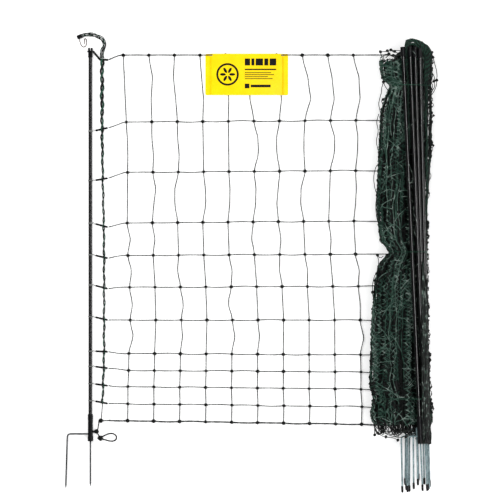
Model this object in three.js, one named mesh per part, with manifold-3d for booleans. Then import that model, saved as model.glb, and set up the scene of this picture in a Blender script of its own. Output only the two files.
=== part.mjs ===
// Electric poultry netting with its first post laid out and the rest gathered, lying on a floor.
// Millimetres. X runs along the lines from the first post, Y runs up to the top line, Z is up.
import * as THREE from "three";
import { mergeVertices } from "three/addons/utils/BufferGeometryUtils.js";
import Module from "manifold-3d";

const wasm = await Module();
wasm.setup();

// Clearance between neighbours, and the height at which the flat net lies
const CLEARANCE = 0.3;
const NET_HEIGHT = 4.2;

// Lines: gaps from the top line down, and how much lower each lies at its left and right end
const LINE_GAPS = [200, 150, 150, 100, 100, 100, 100, 50, 50, 50, 50];
const LINE_DROP_LEFT = [0, 2, 4, 7, 5, 1, 0, 1, 2, 1, 3, 4];
const LINE_DROP_RIGHT = [0, -3, -1, 1, 1, -2, 0, 5, 7, 9, 12, 15];
const LINE_HALF = 1.15;
const LINE_INTO_BUNDLE = 18;

// Verticals: the first knot, the mesh width, and how far each row of knots has shifted
const FIRST_KNOT = 99;
const MESH_WIDTH = 77.2;
const VERTICALS = 10;
const ROW_SHIFT_LEFT = [0, 9, 13, 12, 14, 19, 21, 17, 16, 14, 14, 13];
const ROW_SHIFT_RIGHT = [0, 8, 7, 2, 7, 15, 21, 22, 23, 23, 26, 25];
const VERTICAL_HALF = 1.15;
const KNOT_HALF = 3.9;
const KNOT_MIDDLE = 3;
const KNOT_REACH = 6;

// Slack of each vertical in its seven long meshes: two bends in the first three, then one
const SLACK = [
  [0, 0, 2, 2, 0, 0, 8, 9, 8, 11],
  [8, 1, -1, 3, 9, 3, 6, 0, 0, 0],
  [-6, -2, 0, 4, -10, -9, 0, -6, 8, 5],
  [2, 5, 0, 0, 6, 8, 0, 0, 0, 0],
  [1, 4, 0, 0, 4, 4, 0, 6, -12, 8],
  [-6, -9, 12, 13, 6, 6, -7, 0, 0, 5],
  [6, 9, -9, -8, -3, -6, 6, -4, 0, 0],
  [14, 20, -3, -3, -10, -10, 0, 4, 0, 0],
  [10, 14, 13, 12, 0, 0, 5, 0, 0, 0],
  [14, 15, 6, 5, 4, 3, 0, 7, 3, 10],
];
const BENDS_PER_GAP = [2, 2, 2, 1, 1, 1, 1, 0, 0, 0, 0];

// Post: lengths along its axis are measured down from the top of its head
const POST_ABOVE_LINE = 21.5;
const ROD_RADIUS = 5.7;
const ROD_SEAT = 4;
const HEAD_RADIUS = 7.1;
const HEAD_LENGTH = 29;
const HEAD_SLOT_WIDTH = 3;
const HEAD_SLOT_DEPTH = 9;
const SLEEVE_RADIUS = 8;
const SLEEVE_START = 1105;
const SLEEVE_LENGTH = 82;
const ROD_IN_SLEEVE = 45;
const LUG_REACH = 15;
const LUG_SIZE = 7;
const LUG_KNOT_HALF = 2.9;
const LUG_KNOT_LENGTH = 6;
const LUG_STRING = [2, 4];
const LUG_STRING_END = 8;
const POST_HEIGHT = 9.6;
const ROUND_SIDES = 8;

// Double spike
const SPIKE_RADIUS = 2.55;
const SPIKE_SIDES = 6;
const SPIKE_INTO_SLEEVE = 34;
const BAR_IN_SLEEVE = 60;
const BAR_BELOW_HEAD = SLEEVE_START + BAR_IN_SLEEVE;
const BAR_REACH = 69.5;
const BAR_BEND = 8;
const MAIN_PRONG_LENGTH = 158;
const OUTER_PRONG_LENGTH = 164;
const MAIN_PRONG_END = BAR_BELOW_HEAD + MAIN_PRONG_LENGTH;
const OUTER_PRONG_END = BAR_BELOW_HEAD + OUTER_PRONG_LENGTH;
const PRONG_SPREAD = 5;
const POINT_LENGTH = 9;
const POINT_RADIUS = 0.7;

// Ties between the first post and the lines: how far below its line each sleeve ends, and how
// much higher it starts on the post
const RING_HALF = 0.9;
const RING_SPARE = 0.35;
const TIE_SLEEVE_HALF = 2.3;
const TIE_SLEEVE_START = 12;
const TIE_SLEEVE_END = 52;
const TIE_DROP = [14, 17, 17, 12, 8, 4, 0, -5, -6, -2, 0, 0];
const TIE_RISE = [35, -12, -9, 14, 12, 13, 12, 2, 7, 7, 10, 0];
const STRAP_HALF = 3.1;
const STRAP_BEND = 29;
const STRAIGHT_BEFORE_KNOT = 10;

// Twisted cord down the net's first edge
const EDGE_X = [35, 35, 37, 40, 41, 41, 41, 41, 40, 38, 36, 33];
const EDGE_RADIUS = 3.2;
const EDGE_RADIUS_TOP = 4.4;
const EDGE_RADIUS_END = 1.3;
const EDGE_KNOT = 4.4;
const EDGE_KNOT_TOP = 4.6;
const EDGE_HEIGHT = 5.35;
const EDGE_SIDES = 6;

// Warning plate hooked on the top line
const PLATE_WIDTH = 250;
const PLATE_HEIGHT = 125;
const PLATE_THICKNESS = 1.2;
const PLATE_LEFT = 347;
const PLATE_ABOVE_LINE = 4;
const PLATE_TAB = 13;
const PLATE_SLOPE = 8;
const PLATE_SLOT_MARGIN = 1;

// Gathered net: height along Y, left edge, right edge, thickness, and lift off the floor
const BUNDLE_SECTIONS = [
  [41, 960, 990, 40, 30],
  [36, 948, 1004, 66, 18],
  [25, 934, 1016, 90, 8],
  [10, 905, 1025, 100, 2],
  [4, 877, 1026, 101, 0],
  [-14, 873, 1027, 104, 0],
  [-50, 875, 1026, 104, 0],
  [-78, 882, 1026, 102, 1],
  [-91, 906, 1023, 97, 4],
  [-99, 906, 1023, 97, 4],
  [-120, 893, 1024, 102, 1],
  [-171, 878, 1026, 104, 0],
  [-301, 870, 1024, 104, 0],
  [-452, 864, 1013, 104, 0],
  [-560, 874, 1012, 103, 1],
  [-590, 903, 1012, 98, 4],
  [-598, 903, 1012, 98, 4],
  [-628, 872, 1013, 103, 1],
  [-691, 857, 1012, 104, 0],
  [-830, 848, 1015, 104, 0],
  [-996, 842, 1021, 104, 0],
  [-1029, 854, 1022, 98, 4],
  [-1037, 854, 1022, 98, 4],
  [-1062, 847, 1026, 104, 0],
  [-1100, 849, 1028, 104, 0],
  [-1116, 862, 1027, 98, 3],
];
const BUNDLE_ROUNDNESS = 2.6;
const BUNDLE_POINTS = 14;
const BUNDLE_SHOULDER = 0.24;
const BUNDLE_SHOULDER_SPAN = [-0.7, 0.1];

// Strings that tie the bundle
const BUNDLE_TIE_Y = [-95, -594, -1033];
const BUNDLE_TIE_HALF = 1.2;

// Posts in the bundle: X and Z at the head, X and Z at the bar, slid up, and spike turned by
const BUNDLE_POSTS = [
  [989, 82, 1017, 57, -6, 40],
  [974, 87, 1010, 72, -3, 40],
  [959, 89, 1005, 88, -3, 40],
  [938, 90, 990, 96, -3, 40],
  [994, 60, 1017.7, 33, 15.3, 17],
  [986, 26, 1019.7, 16, 3.1, -15.4],
  [974, 40, 1004.2, 8.7, 9.2, -60],
  [956, 50, 986.7, 9.5, 21.4, -86],
];

// Loose end of the edge cord, its end cap and its wire clip
const TAIL_DIAMETER = 11;
const TAIL_STEPS = 14;
const TAIL_POINTS = [
  [35, -9.8, 6],
  [34.5, -4, 6],
  [34.5, 4, 6],
  [36, 11, 6],
  [38, 19, 6],
  [42, 26, 6],
  [43, 34, 6],
  [40, 42, 6],
  [34, 49, 6],
  [26, 54, 6],
  [17, 58, 6],
  [8, 61, 6],
  [-1, 62.5, 6],
  [-10, 62.5, 6],
  [-18, 61, 6],
  [-26, 58, 6],
];
const CAP_RADIUS = 6.8;
const CAP_LENGTH = 15;
const CAP_SIDES = 10;
const CLIP_RADIUS = 0.9;
const CLIP_SIDES = 6;
const CLIP_POINTS = [
  [-33, 47.8, 6.6],
  [-32.5, 43, 5.5],
  [-31, 38, 3],
  [-28, 30, 1.4],
  [-23, 25, 1.4],
  [-17, 26, 1.4],
  [-13, 32, 1.4],
  [-12.5, 46, 1.4],
  [-15, 50, 1.4],
  [-18.5, 47, 1.4],
  [-19, 34, 1.4],
];

// Tie loop below the first post: Y is measured from the lug
const LOOP_DIAMETER = 4;
const LOOP_STEPS = 20;
const LOOP_KNOT = [29, -19.5, 3.6];
const LOOP_KNOT_RADIUS = 3.5;
const LOOP_LEAD_HALF = 1.6;
const LOOP_LEAD_POINTS = [
  [19.5, -4.4, 4],
  [24, -10.5, 3.6],
  [28, -17.5, 3.6],
];
const LOOP_POINTS = [
  [32.3, -21.5, 2.5],
  [38, -24, 2.3],
  [45, -25.5, 2.3],
  [53, -27.8, 2.3],
  [61, -29.3, 2.3],
  [69, -28.9, 2.3],
  [75.5, -25.5, 2.3],
  [78.5, -19.5, 2.3],
  [77, -13, 2.3],
  [71.5, -8.3, 2.3],
  [64, -6.1, 2.3],
  [56, -6.9, 2.3],
  [48, -9.7, 2.3],
  [40.5, -13.3, 2.3],
  [32.4, -17.6, 2.5],
];

const material = (color, roughness, metalness = 0) =>
  new THREE.MeshStandardMaterial({ color, roughness, metalness });
const twine = material(0x3c463f, 0.7);
const greenCord = material(0x1f4a35, 0.75);
const blackPlastic = material(0x101112, 0.45);
const glassFibre = material(0x0c0d0e, 0.25);
const galvanised = material(0x9fb0b4, 0.4, 0.8);
const yellowPlate = material(0xffdd00, 0.5);
const gatheredGreen = material(0x16281f, 0.85);
const steelWire = material(0xb09a92, 0.4, 0.8);

const group = new THREE.Group();

function add(name, geometry, finish) {
  geometry.computeVertexNormals();
  const mesh = new THREE.Mesh(geometry, finish);
  mesh.name = name;
  group.add(mesh);
  return mesh;
}

// Closed solid for joining and cutting, from any closed geometry
function solidOf(geometry) {
  const bare = geometry.clone();
  bare.deleteAttribute("normal");
  bare.deleteAttribute("uv");
  const merged = mergeVertices(bare, 1e-3);
  return new wasm.Manifold(
    new wasm.Mesh({
      numProp: 3,
      vertProperties: merged.attributes.position.array,
      triVerts: new Uint32Array(merged.index.array),
    }),
  );
}

function geometryOf(solid) {
  const mesh = solid.getMesh();
  const geometry = new THREE.BufferGeometry();
  geometry.setAttribute("position", new THREE.BufferAttribute(mesh.vertProperties, 3));
  geometry.setIndex(new THREE.BufferAttribute(mesh.triVerts, 1));
  return geometry;
}

const cut = (body, tools) => tools.reduce((rest, tool) => rest.subtract(tool), body);

// Skin over rings of points, with flat ends, or joined round to its first ring
function loft(rings, closed = false) {
  const sides = rings[0].length;
  const corner = (ring, side) => (ring % rings.length) * sides + (side % sides);
  const faces = [];
  for (let ring = 0; ring < rings.length - (closed ? 0 : 1); ring++) {
    for (let side = 0; side < sides; side++) {
      const a = corner(ring, side);
      const b = corner(ring, side + 1);
      const c = corner(ring + 1, side + 1);
      const d = corner(ring + 1, side);
      faces.push(a, b, c, a, c, d);
    }
  }
  if (!closed) {
    const last = rings.length - 1;
    for (let side = 1; side < sides - 1; side++) {
      faces.push(corner(0, 0), corner(0, side + 1), corner(0, side));
      faces.push(corner(last, 0), corner(last, side), corner(last, side + 1));
    }
  }
  const geometry = new THREE.BufferGeometry().setFromPoints(rings.flat());
  geometry.setIndex(faces);
  return geometry;
}

// Strand with flats at the given half widths, along points that never run straight up
function strand(points, halves, sides) {
  const path = points.map((point) => new THREE.Vector3(...point));
  const up = new THREE.Vector3(0, 0, 1);
  const rings = path.map((point, i) => {
    const before = path[Math.max(i - 1, 0)];
    const after = path[Math.min(i + 1, path.length - 1)];
    const along = new THREE.Vector3().subVectors(after, before).normalize();
    const across = new THREE.Vector3().crossVectors(up, along).normalize();
    const over = new THREE.Vector3().crossVectors(along, across);
    const radius = halves[i] / Math.cos(Math.PI / sides);
    return Array.from({ length: sides }, (_, side) => {
      const angle = (2 * side + 1) * (Math.PI / sides);
      return point
        .clone()
        .addScaledVector(across, radius * Math.cos(angle))
        .addScaledVector(over, radius * Math.sin(angle));
    });
  });
  return loft(rings);
}

// Knots of the flat net
const rowCount = LINE_GAPS.length + 1;
const rows = Array.from({ length: rowCount }, (_, row) => row);
const rowDepth = rows.map((row) => LINE_GAPS.slice(0, row).reduce((sum, gap) => sum + gap, 0));
const lastKnot = (row) => FIRST_KNOT + MESH_WIDTH * (VERTICALS - 1) + ROW_SHIFT_RIGHT[row];
const firstKnot = (row) => FIRST_KNOT + ROW_SHIFT_LEFT[row];
const knotX = (column, row) =>
  THREE.MathUtils.lerp(firstKnot(row), lastKnot(row), column / (VERTICALS - 1));

function lineY(row, x) {
  const share = (x - firstKnot(row)) / (lastKnot(row) - firstKnot(row));
  return -rowDepth[row] - THREE.MathUtils.lerp(LINE_DROP_LEFT[row], LINE_DROP_RIGHT[row], share);
}

// Height at the end of a tie's sleeve, and along the tie from the post to there
const tieEndY = (row) => lineY(row, TIE_SLEEVE_END) - TIE_DROP[row];

function tieY(row, x) {
  if (row === rowCount - 1) return lineY(row, x);
  const run = row === 0 ? STRAP_BEND : TIE_SLEEVE_END;
  return tieEndY(row) + TIE_RISE[row] * Math.max(0, 1 - x / run);
}

// Square tunnel for a line, where it passes through something at x
function lineTunnel(yAt, x, half, length) {
  const slope = yAt(x + 1) - yAt(x);
  const size = 2 * (half + CLEARANCE);
  const tunnel = new THREE.BoxGeometry(length, size, size);
  tunnel.rotateZ(Math.atan(slope));
  tunnel.translate(x, yAt(x), NET_HEIGHT);
  return solidOf(tunnel);
}

// One knotted strand down the net: a barrel round each line, with slack between
function knottedStrand({ xAt, yAt, slack, z, half, knot, sides }) {
  const points = [];
  const halves = [];
  let bend = 0;
  rows.forEach((row) => {
    const x = xAt(row);
    const y = yAt(row);
    if (row > 0) {
      points.push([x, y + KNOT_REACH, z]);
      halves.push(half(row));
    }
    points.push([x, y + KNOT_MIDDLE, z], [x, y - KNOT_MIDDLE, z]);
    halves.push(knot(row), knot(row));
    if (row === rowCount - 1) return;
    points.push([x, y - KNOT_REACH, z]);
    halves.push(half(row));
    const bends = slack ? BENDS_PER_GAP[row] : 0;
    for (let k = 1; k <= bends; k++) {
      const share = k / (bends + 1);
      const chord = THREE.MathUtils.lerp(x, xAt(row + 1), share);
      points.push([chord + slack[bend], THREE.MathUtils.lerp(y, yAt(row + 1), share), z]);
      halves.push(half(row));
      bend++;
    }
  });
  return solidOf(strand(points, halves, sides));
}

function verticals() {
  for (let column = 0; column < VERTICALS; column++) {
    const body = knottedStrand({
      xAt: (row) => knotX(column, row),
      yAt: (row) => lineY(row, knotX(column, row)),
      slack: SLACK[column],
      z: NET_HEIGHT,
      half: () => VERTICAL_HALF,
      knot: () => KNOT_HALF,
      sides: 4,
    });
    const tunnels = rows.map((row) =>
      lineTunnel((x) => lineY(row, x), knotX(column, row), LINE_HALF, 4 * KNOT_HALF),
    );
    const name = "vertical_" + String(column + 1).padStart(2, "0");
    add(name, geometryOf(cut(body, tunnels)), twine);
  }
}

// Edge cord: thick at the top, thinner down the net, a single thin strand to the corner
function edgeCord() {
  const radius = (row) => {
    if (row === 0) return EDGE_RADIUS_TOP;
    return row < rowCount - 2 ? EDGE_RADIUS : EDGE_RADIUS_END;
  };
  const body = knottedStrand({
    xAt: (row) => EDGE_X[row],
    yAt: (row) => tieY(row, EDGE_X[row]),
    slack: null,
    z: EDGE_HEIGHT,
    half: radius,
    knot: (row) => (row === 0 ? EDGE_KNOT_TOP : EDGE_KNOT),
    sides: EDGE_SIDES,
  });
  const tunnels = rows.map((row) => {
    const half = row === 0 ? STRAP_HALF : TIE_SLEEVE_HALF;
    return lineTunnel((x) => tieY(row, x), EDGE_X[row], half, 6 * EDGE_KNOT);
  });
  add("edge_cord", geometryOf(cut(body, tunnels)), greenCord);
}

// Gathered net: a lobed core with a channel for every post and a socket for every line
function sectionAt(y) {
  const last = BUNDLE_SECTIONS.length - 1;
  let index = BUNDLE_SECTIONS.findIndex((section) => section[0] <= y);
  if (index < 0) index = last;
  const lower = BUNDLE_SECTIONS[index];
  const upper = BUNDLE_SECTIONS[Math.max(index - 1, 0)];
  const share = upper === lower ? 0 : (upper[0] - y) / (upper[0] - lower[0]);
  return upper.map((value, i) => THREE.MathUtils.lerp(value, lower[i], share));
}

function sectionRing([y, left, right, thickness, lift]) {
  const signedPower = (value) => Math.sign(value) * Math.abs(value) ** (2 / BUNDLE_ROUNDNESS);
  const flat = signedPower(Math.cos(Math.PI / BUNDLE_POINTS));
  return Array.from({ length: BUNDLE_POINTS }, (_, i) => {
    const angle = (2 * Math.PI * i) / BUNDLE_POINTS;
    const across = signedPower(Math.cos(angle));
    const up = signedPower(Math.sin(angle)) / flat;
    const front = up <= 0 ? 0 : THREE.MathUtils.smoothstep(across, ...BUNDLE_SHOULDER_SPAN);
    const height = (1 + up) * (1 - BUNDLE_SHOULDER * front);
    const x = (left + right) / 2 + ((right - left) / 2) * across;
    return new THREE.Vector3(x, y, lift + (thickness / 2) * height);
  });
}

function bundleEdge(y, z) {
  const [, left, right, thickness, lift] = sectionAt(y);
  const height = Math.min(Math.abs(z - lift - thickness / 2) / (thickness / 2), 1);
  const share = (1 - height ** BUNDLE_ROUNDNESS) ** (1 / BUNDLE_ROUNDNESS);
  return (left + right) / 2 - ((right - left) / 2) * share;
}

function lineEnd(row) {
  const near = lastKnot(row);
  return bundleEdge(lineY(row, near), NET_HEIGHT) + LINE_INTO_BUNDLE;
}

// Placement of a bundle post, from its head to its bar
function postPlace([headX, headZ, barX, barZ, slide, turn]) {
  const head = new THREE.Vector3(headX, POST_ABOVE_LINE + slide, headZ);
  const bar = new THREE.Vector3(barX, POST_ABOVE_LINE + slide - BAR_BELOW_HEAD, barZ);
  const along = new THREE.Vector3().subVectors(bar, head).normalize();
  const lean = new THREE.Quaternion().setFromUnitVectors(new THREE.Vector3(0, -1, 0), along);
  const angle = THREE.MathUtils.degToRad(-turn);
  const spin = new THREE.Quaternion().setFromAxisAngle(new THREE.Vector3(0, 1, 0), angle);
  return { head, along, turned: lean.clone().multiply(spin) };
}

const outlineOfPost = (spare) => [
  [0, spare],
  [HEAD_RADIUS + spare, spare],
  [HEAD_RADIUS + spare, -HEAD_LENGTH - spare],
  [ROD_RADIUS + spare, -HEAD_LENGTH - spare],
  [ROD_RADIUS + spare, -SLEEVE_START + spare],
  [SLEEVE_RADIUS + spare, -SLEEVE_START + spare],
  [SLEEVE_RADIUS + spare, -SLEEVE_START - SLEEVE_LENGTH - spare],
  [0, -SLEEVE_START - SLEEVE_LENGTH - spare],
];

function turned(outline, sides = ROUND_SIDES) {
  const points = outline.map(([radius, y]) => new THREE.Vector2(radius, y));
  const upward = points[0].y < points[points.length - 1].y;
  return new THREE.LatheGeometry(upward ? points : points.reverse(), sides);
}

function gatheredNet() {
  const core = solidOf(loft(BUNDLE_SECTIONS.map(sectionRing)));
  const channels = BUNDLE_POSTS.map((post) => {
    const { head, turned: attitude } = postPlace(post);
    const channel = turned(outlineOfPost(CLEARANCE));
    channel.applyQuaternion(attitude);
    channel.translate(head.x, head.y, head.z);
    return solidOf(channel);
  });
  const sockets = rows.map((row) => {
    const end = lineEnd(row) + CLEARANCE;
    const length = 3 * LINE_INTO_BUNDLE;
    return lineTunnel((x) => lineY(row, x), end - length / 2, LINE_HALF, length);
  });
  add("gathered_net", geometryOf(cut(core, [...channels, ...sockets])), gatheredGreen);
}

// Outline of a taut string round the bundle at one height
function tautOutline(y) {
  const points = sectionRing(sectionAt(y)).map((p) => new THREE.Vector2(p.x, p.z));
  BUNDLE_POSTS.forEach((post) => {
    const { head, along } = postPlace(post);
    const reach = (y - head.y) / along.y;
    const centre = head.clone().addScaledVector(along, reach);
    for (let i = 0; i < ROUND_SIDES; i++) {
      const angle = (2 * Math.PI * i) / ROUND_SIDES;
      const radius = ROD_RADIUS / Math.cos(Math.PI / ROUND_SIDES);
      const x = centre.x + radius * Math.cos(angle);
      points.push(new THREE.Vector2(x, centre.z + radius * Math.sin(angle)));
    }
  });
  points.sort((a, b) => a.x - b.x || a.y - b.y);
  const turnsLeft = (a, b, c) => (b.x - a.x) * (c.y - a.y) - (b.y - a.y) * (c.x - a.x) > 1;
  const halfHull = (list) => {
    const hull = [];
    list.forEach((point) => {
      while (hull.length > 1 && !turnsLeft(hull[hull.length - 2], hull[hull.length - 1], point)) {
        hull.pop();
      }
      hull.push(point);
    });
    return hull.slice(0, -1);
  };
  return [...halfHull(points), ...halfHull(points.reverse())];
}

function bundleTies() {
  BUNDLE_TIE_Y.forEach((y, index) => {
    const hull = tautOutline(y);
    const spare = BUNDLE_TIE_HALF + CLEARANCE;
    const rings = hull.map((point, i) => {
      const before = hull[(i + hull.length - 1) % hull.length];
      const after = hull[(i + 1) % hull.length];
      const into = point.clone().sub(before).normalize();
      const out = after.clone().sub(point).normalize();
      const normal = new THREE.Vector2(into.y + out.y, -into.x - out.x).normalize();
      const mitre = 1 / (normal.x * into.y - normal.y * into.x);
      const near = point.clone().addScaledVector(normal, mitre * (spare - BUNDLE_TIE_HALF));
      const far = point.clone().addScaledVector(normal, mitre * (spare + BUNDLE_TIE_HALF));
      return [
        new THREE.Vector3(far.x, y - BUNDLE_TIE_HALF, far.y),
        new THREE.Vector3(far.x, y + BUNDLE_TIE_HALF, far.y),
        new THREE.Vector3(near.x, y + BUNDLE_TIE_HALF, near.y),
        new THREE.Vector3(near.x, y - BUNDLE_TIE_HALF, near.y),
      ];
    });
    add("bundle_tie_" + (index + 1), loft(rings, true), greenCord);
  });
}

// Double spike about the post axis: the main prong and the bar that carries the outer one
function doubleSpike() {
  const sleeveEnd = SLEEVE_START + SLEEVE_LENGTH;
  const main = strand(
    [
      [0, -sleeveEnd + SPIKE_INTO_SLEEVE, 0],
      [0, -MAIN_PRONG_END + POINT_LENGTH, 0],
      [0, -MAIN_PRONG_END, 0],
    ],
    [SPIKE_RADIUS, SPIKE_RADIUS, POINT_RADIUS],
    SPIKE_SIDES,
  );
  const outer = strand(
    [
      [0, -BAR_BELOW_HEAD, 0],
      [-BAR_REACH + BAR_BEND, -BAR_BELOW_HEAD, 0],
      [-BAR_REACH + BAR_BEND * 0.3, -BAR_BELOW_HEAD - BAR_BEND * 0.3, 0],
      [-BAR_REACH, -BAR_BELOW_HEAD - BAR_BEND, 0],
      [-BAR_REACH - PRONG_SPREAD, -OUTER_PRONG_END + POINT_LENGTH, 0],
      [-BAR_REACH - PRONG_SPREAD, -OUTER_PRONG_END, 0],
    ],
    [SPIKE_RADIUS, SPIKE_RADIUS, SPIKE_RADIUS, SPIKE_RADIUS, SPIKE_RADIUS, POINT_RADIUS],
    SPIKE_SIDES,
  );
  return solidOf(main).add(solidOf(outer));
}

function box(width, depth, height, x, y, z) {
  const shape = new THREE.BoxGeometry(width, depth, height);
  shape.translate(x, y, z);
  return solidOf(shape);
}

// What is cut from a head and from a sleeve: the split top, the bore and the notch for the bar
const headSlot = () =>
  box(HEAD_SLOT_WIDTH, 2 * HEAD_SLOT_DEPTH, 3 * HEAD_RADIUS, 0, 0, 0);

function spikeSeat() {
  const sleeveEnd = SLEEVE_START + SLEEVE_LENGTH;
  const bore = SPIKE_RADIUS / Math.cos(Math.PI / SPIKE_SIDES) + CLEARANCE;
  const depth = SPIKE_INTO_SLEEVE + CLEARANCE;
  const hole = new THREE.CylinderGeometry(bore, bore, 2 * depth, ROUND_SIDES);
  hole.translate(0, -sleeveEnd, 0);
  const notchTop = -BAR_BELOW_HEAD + bore;
  const notchDepth = sleeveEnd + 1 + notchTop;
  const notch = box(
    2 * SLEEVE_RADIUS,
    notchDepth,
    2 * bore,
    -SLEEVE_RADIUS,
    notchTop - notchDepth / 2,
    0,
  );
  return [solidOf(hole), notch];
}

function firstPost() {
  const post = new THREE.Group();
  post.position.set(0, POST_ABOVE_LINE, POST_HEIGHT);
  group.add(post);
  const place = (name, geometry, finish) => post.add(add(name, geometry, finish));
  const rodEnd = SLEEVE_START + ROD_IN_SLEEVE;
  const bore = ROD_RADIUS + CLEARANCE;
  const headSeat = HEAD_SLOT_DEPTH + ROD_SEAT;
  place(
    "first_post_rod",
    turned([
      [0, -headSeat - CLEARANCE],
      [ROD_RADIUS, -headSeat - CLEARANCE],
      [ROD_RADIUS, -rodEnd],
      [0, -rodEnd],
    ]),
    glassFibre,
  );
  const head = turned([
    [0, 0],
    [HEAD_RADIUS, 0],
    [HEAD_RADIUS, -HEAD_LENGTH],
    [bore, -HEAD_LENGTH],
    [bore, -headSeat],
    [0, -headSeat],
  ]);
  place("first_post_head", geometryOf(cut(solidOf(head), [headSlot()])), blackPlastic);
  const sleeve = turned([
    [0, -rodEnd - CLEARANCE],
    [bore, -rodEnd - CLEARANCE],
    [bore, -SLEEVE_START],
    [SLEEVE_RADIUS, -SLEEVE_START],
    [SLEEVE_RADIUS, -SLEEVE_START - SLEEVE_LENGTH],
    [0, -SLEEVE_START - SLEEVE_LENGTH],
  ]);
  const lugY = -BAR_BELOW_HEAD + LUG_SIZE;
  const lugX = (SLEEVE_RADIUS + LUG_REACH - 1) / 2;
  const lug = box(LUG_REACH - SLEEVE_RADIUS + 1, LUG_SIZE, LUG_SIZE, lugX, lugY, 0);
  const wholeSleeve = cut(solidOf(sleeve).add(lug), spikeSeat());
  place("first_post_sleeve", geometryOf(wholeSleeve), blackPlastic);
  place("first_post_spike", geometryOf(doubleSpike()), galvanised);
}

function bundlePosts() {
  const spikeGeometry = geometryOf(doubleSpike());
  const body = solidOf(turned(outlineOfPost(0)));
  const postGeometry = geometryOf(cut(body, [headSlot(), ...spikeSeat()]));
  BUNDLE_POSTS.forEach((post, index) => {
    const { head, turned: attitude } = postPlace(post);
    const number = index + 2;
    [
      add("post_" + number, postGeometry.clone(), glassFibre),
      add("post_" + number + "_spike", spikeGeometry.clone(), galvanised),
    ].forEach((mesh) => {
      mesh.position.copy(head);
      mesh.quaternion.copy(attitude);
    });
  });
}

// A line: tied round the post, through the edge cord in its sleeve, along the net, into the bundle
function line(row) {
  const first = row === 0;
  const last = row === rowCount - 1;
  const half = first ? STRAP_HALF : TIE_SLEEVE_HALF;
  const ringRadius = (first ? HEAD_RADIUS : ROD_RADIUS) + CLEARANCE + RING_HALF + RING_SPARE;
  const ringY = tieY(row, ringRadius);
  const points = [];
  const halves = [];
  const push = (x, y, z, size) => {
    points.push([x, y, z]);
    halves.push(size);
  };
  if (!last) {
    const start = TIE_SLEEVE_START;
    push(ringRadius, ringY, POST_HEIGHT - 1, RING_HALF);
    push(start, tieY(row, start), NET_HEIGHT + 2, first ? half : LINE_HALF);
    push(start + 4, tieY(row, start + 4), NET_HEIGHT, half);
    if (first) push(STRAP_BEND, tieEndY(row), NET_HEIGHT, half);
    push(TIE_SLEEVE_END, tieEndY(row), NET_HEIGHT, half);
    push(TIE_SLEEVE_END + 2, tieEndY(row), NET_HEIGHT, LINE_HALF);
  } else {
    const knotEnd = LUG_REACH + LUG_KNOT_LENGTH;
    push(LUG_REACH + CLEARANCE, lugLevel(), NET_HEIGHT, LUG_KNOT_HALF);
    push(knotEnd, lugLevel(), NET_HEIGHT, LUG_KNOT_HALF);
    push(knotEnd + LUG_STRING[0], lugLevel() + LUG_STRING[1], NET_HEIGHT, LINE_HALF);
    const corner = EDGE_X[row] - LUG_STRING_END;
    push(corner, lineY(row, corner), NET_HEIGHT, LINE_HALF);
  }
  const straight = firstKnot(row) - STRAIGHT_BEFORE_KNOT;
  push(straight, lineY(row, straight), NET_HEIGHT, LINE_HALF);
  const end = lineEnd(row);
  push(end, lineY(row, end), NET_HEIGHT, LINE_HALF);
  const body = solidOf(strand(points, halves, 4));
  if (last) return body;
  const ring = new THREE.TorusGeometry(ringRadius, RING_HALF, 3, ROUND_SIDES);
  ring.rotateX(Math.PI / 2);
  ring.translate(0, ringY, POST_HEIGHT);
  return body.add(solidOf(ring));
}

const lugLevel = () => POST_ABOVE_LINE - BAR_BELOW_HEAD + LUG_SIZE;

function lines() {
  rows.forEach((row) => {
    const name = "line_" + String(row + 1).padStart(2, "0");
    add(name, geometryOf(line(row)), twine);
  });
}

// Warning plate: its corners lie behind the top line and its middle in front of the knots
function warningPlate() {
  const lineReach = LINE_HALF * Math.SQRT2 + CLEARANCE;
  const knotReach = Math.hypot(KNOT_HALF, KNOT_MIDDLE) + CLEARANCE;
  const low = NET_HEIGHT - lineReach - PLATE_THICKNESS;
  const high = NET_HEIGHT + knotReach;
  const xs = [
    [PLATE_LEFT, low],
    [PLATE_LEFT + PLATE_TAB, low],
    [PLATE_LEFT + PLATE_TAB + PLATE_SLOPE, high],
    [PLATE_LEFT + PLATE_WIDTH - PLATE_TAB - PLATE_SLOPE, high],
    [PLATE_LEFT + PLATE_WIDTH - PLATE_TAB, low],
    [PLATE_LEFT + PLATE_WIDTH, low],
  ];
  const top = lineY(0, PLATE_LEFT) + PLATE_ABOVE_LINE;
  const ringAt = ([x, z]) => [
    new THREE.Vector3(x, top, z),
    new THREE.Vector3(x, top, z + PLATE_THICKNESS),
    new THREE.Vector3(x, top - PLATE_HEIGHT, z + PLATE_THICKNESS),
    new THREE.Vector3(x, top - PLATE_HEIGHT, z),
  ];
  const slotLength = PLATE_SLOPE + 2 * PLATE_SLOT_MARGIN;
  const slotWidth = 2 * (lineReach + CLEARANCE);
  const leftSlot = PLATE_LEFT + PLATE_TAB + PLATE_SLOPE / 2;
  const rightSlot = PLATE_LEFT + PLATE_WIDTH - PLATE_TAB - PLATE_SLOPE / 2;
  const slots = [leftSlot, rightSlot].map((x) =>
    box(slotLength, slotWidth, 8 * knotReach, x, lineY(0, x), NET_HEIGHT),
  );
  const plate = cut(solidOf(loft(xs.map(ringAt))), slots);
  add("warning_plate", geometryOf(plate), yellowPlate);
}

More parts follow.
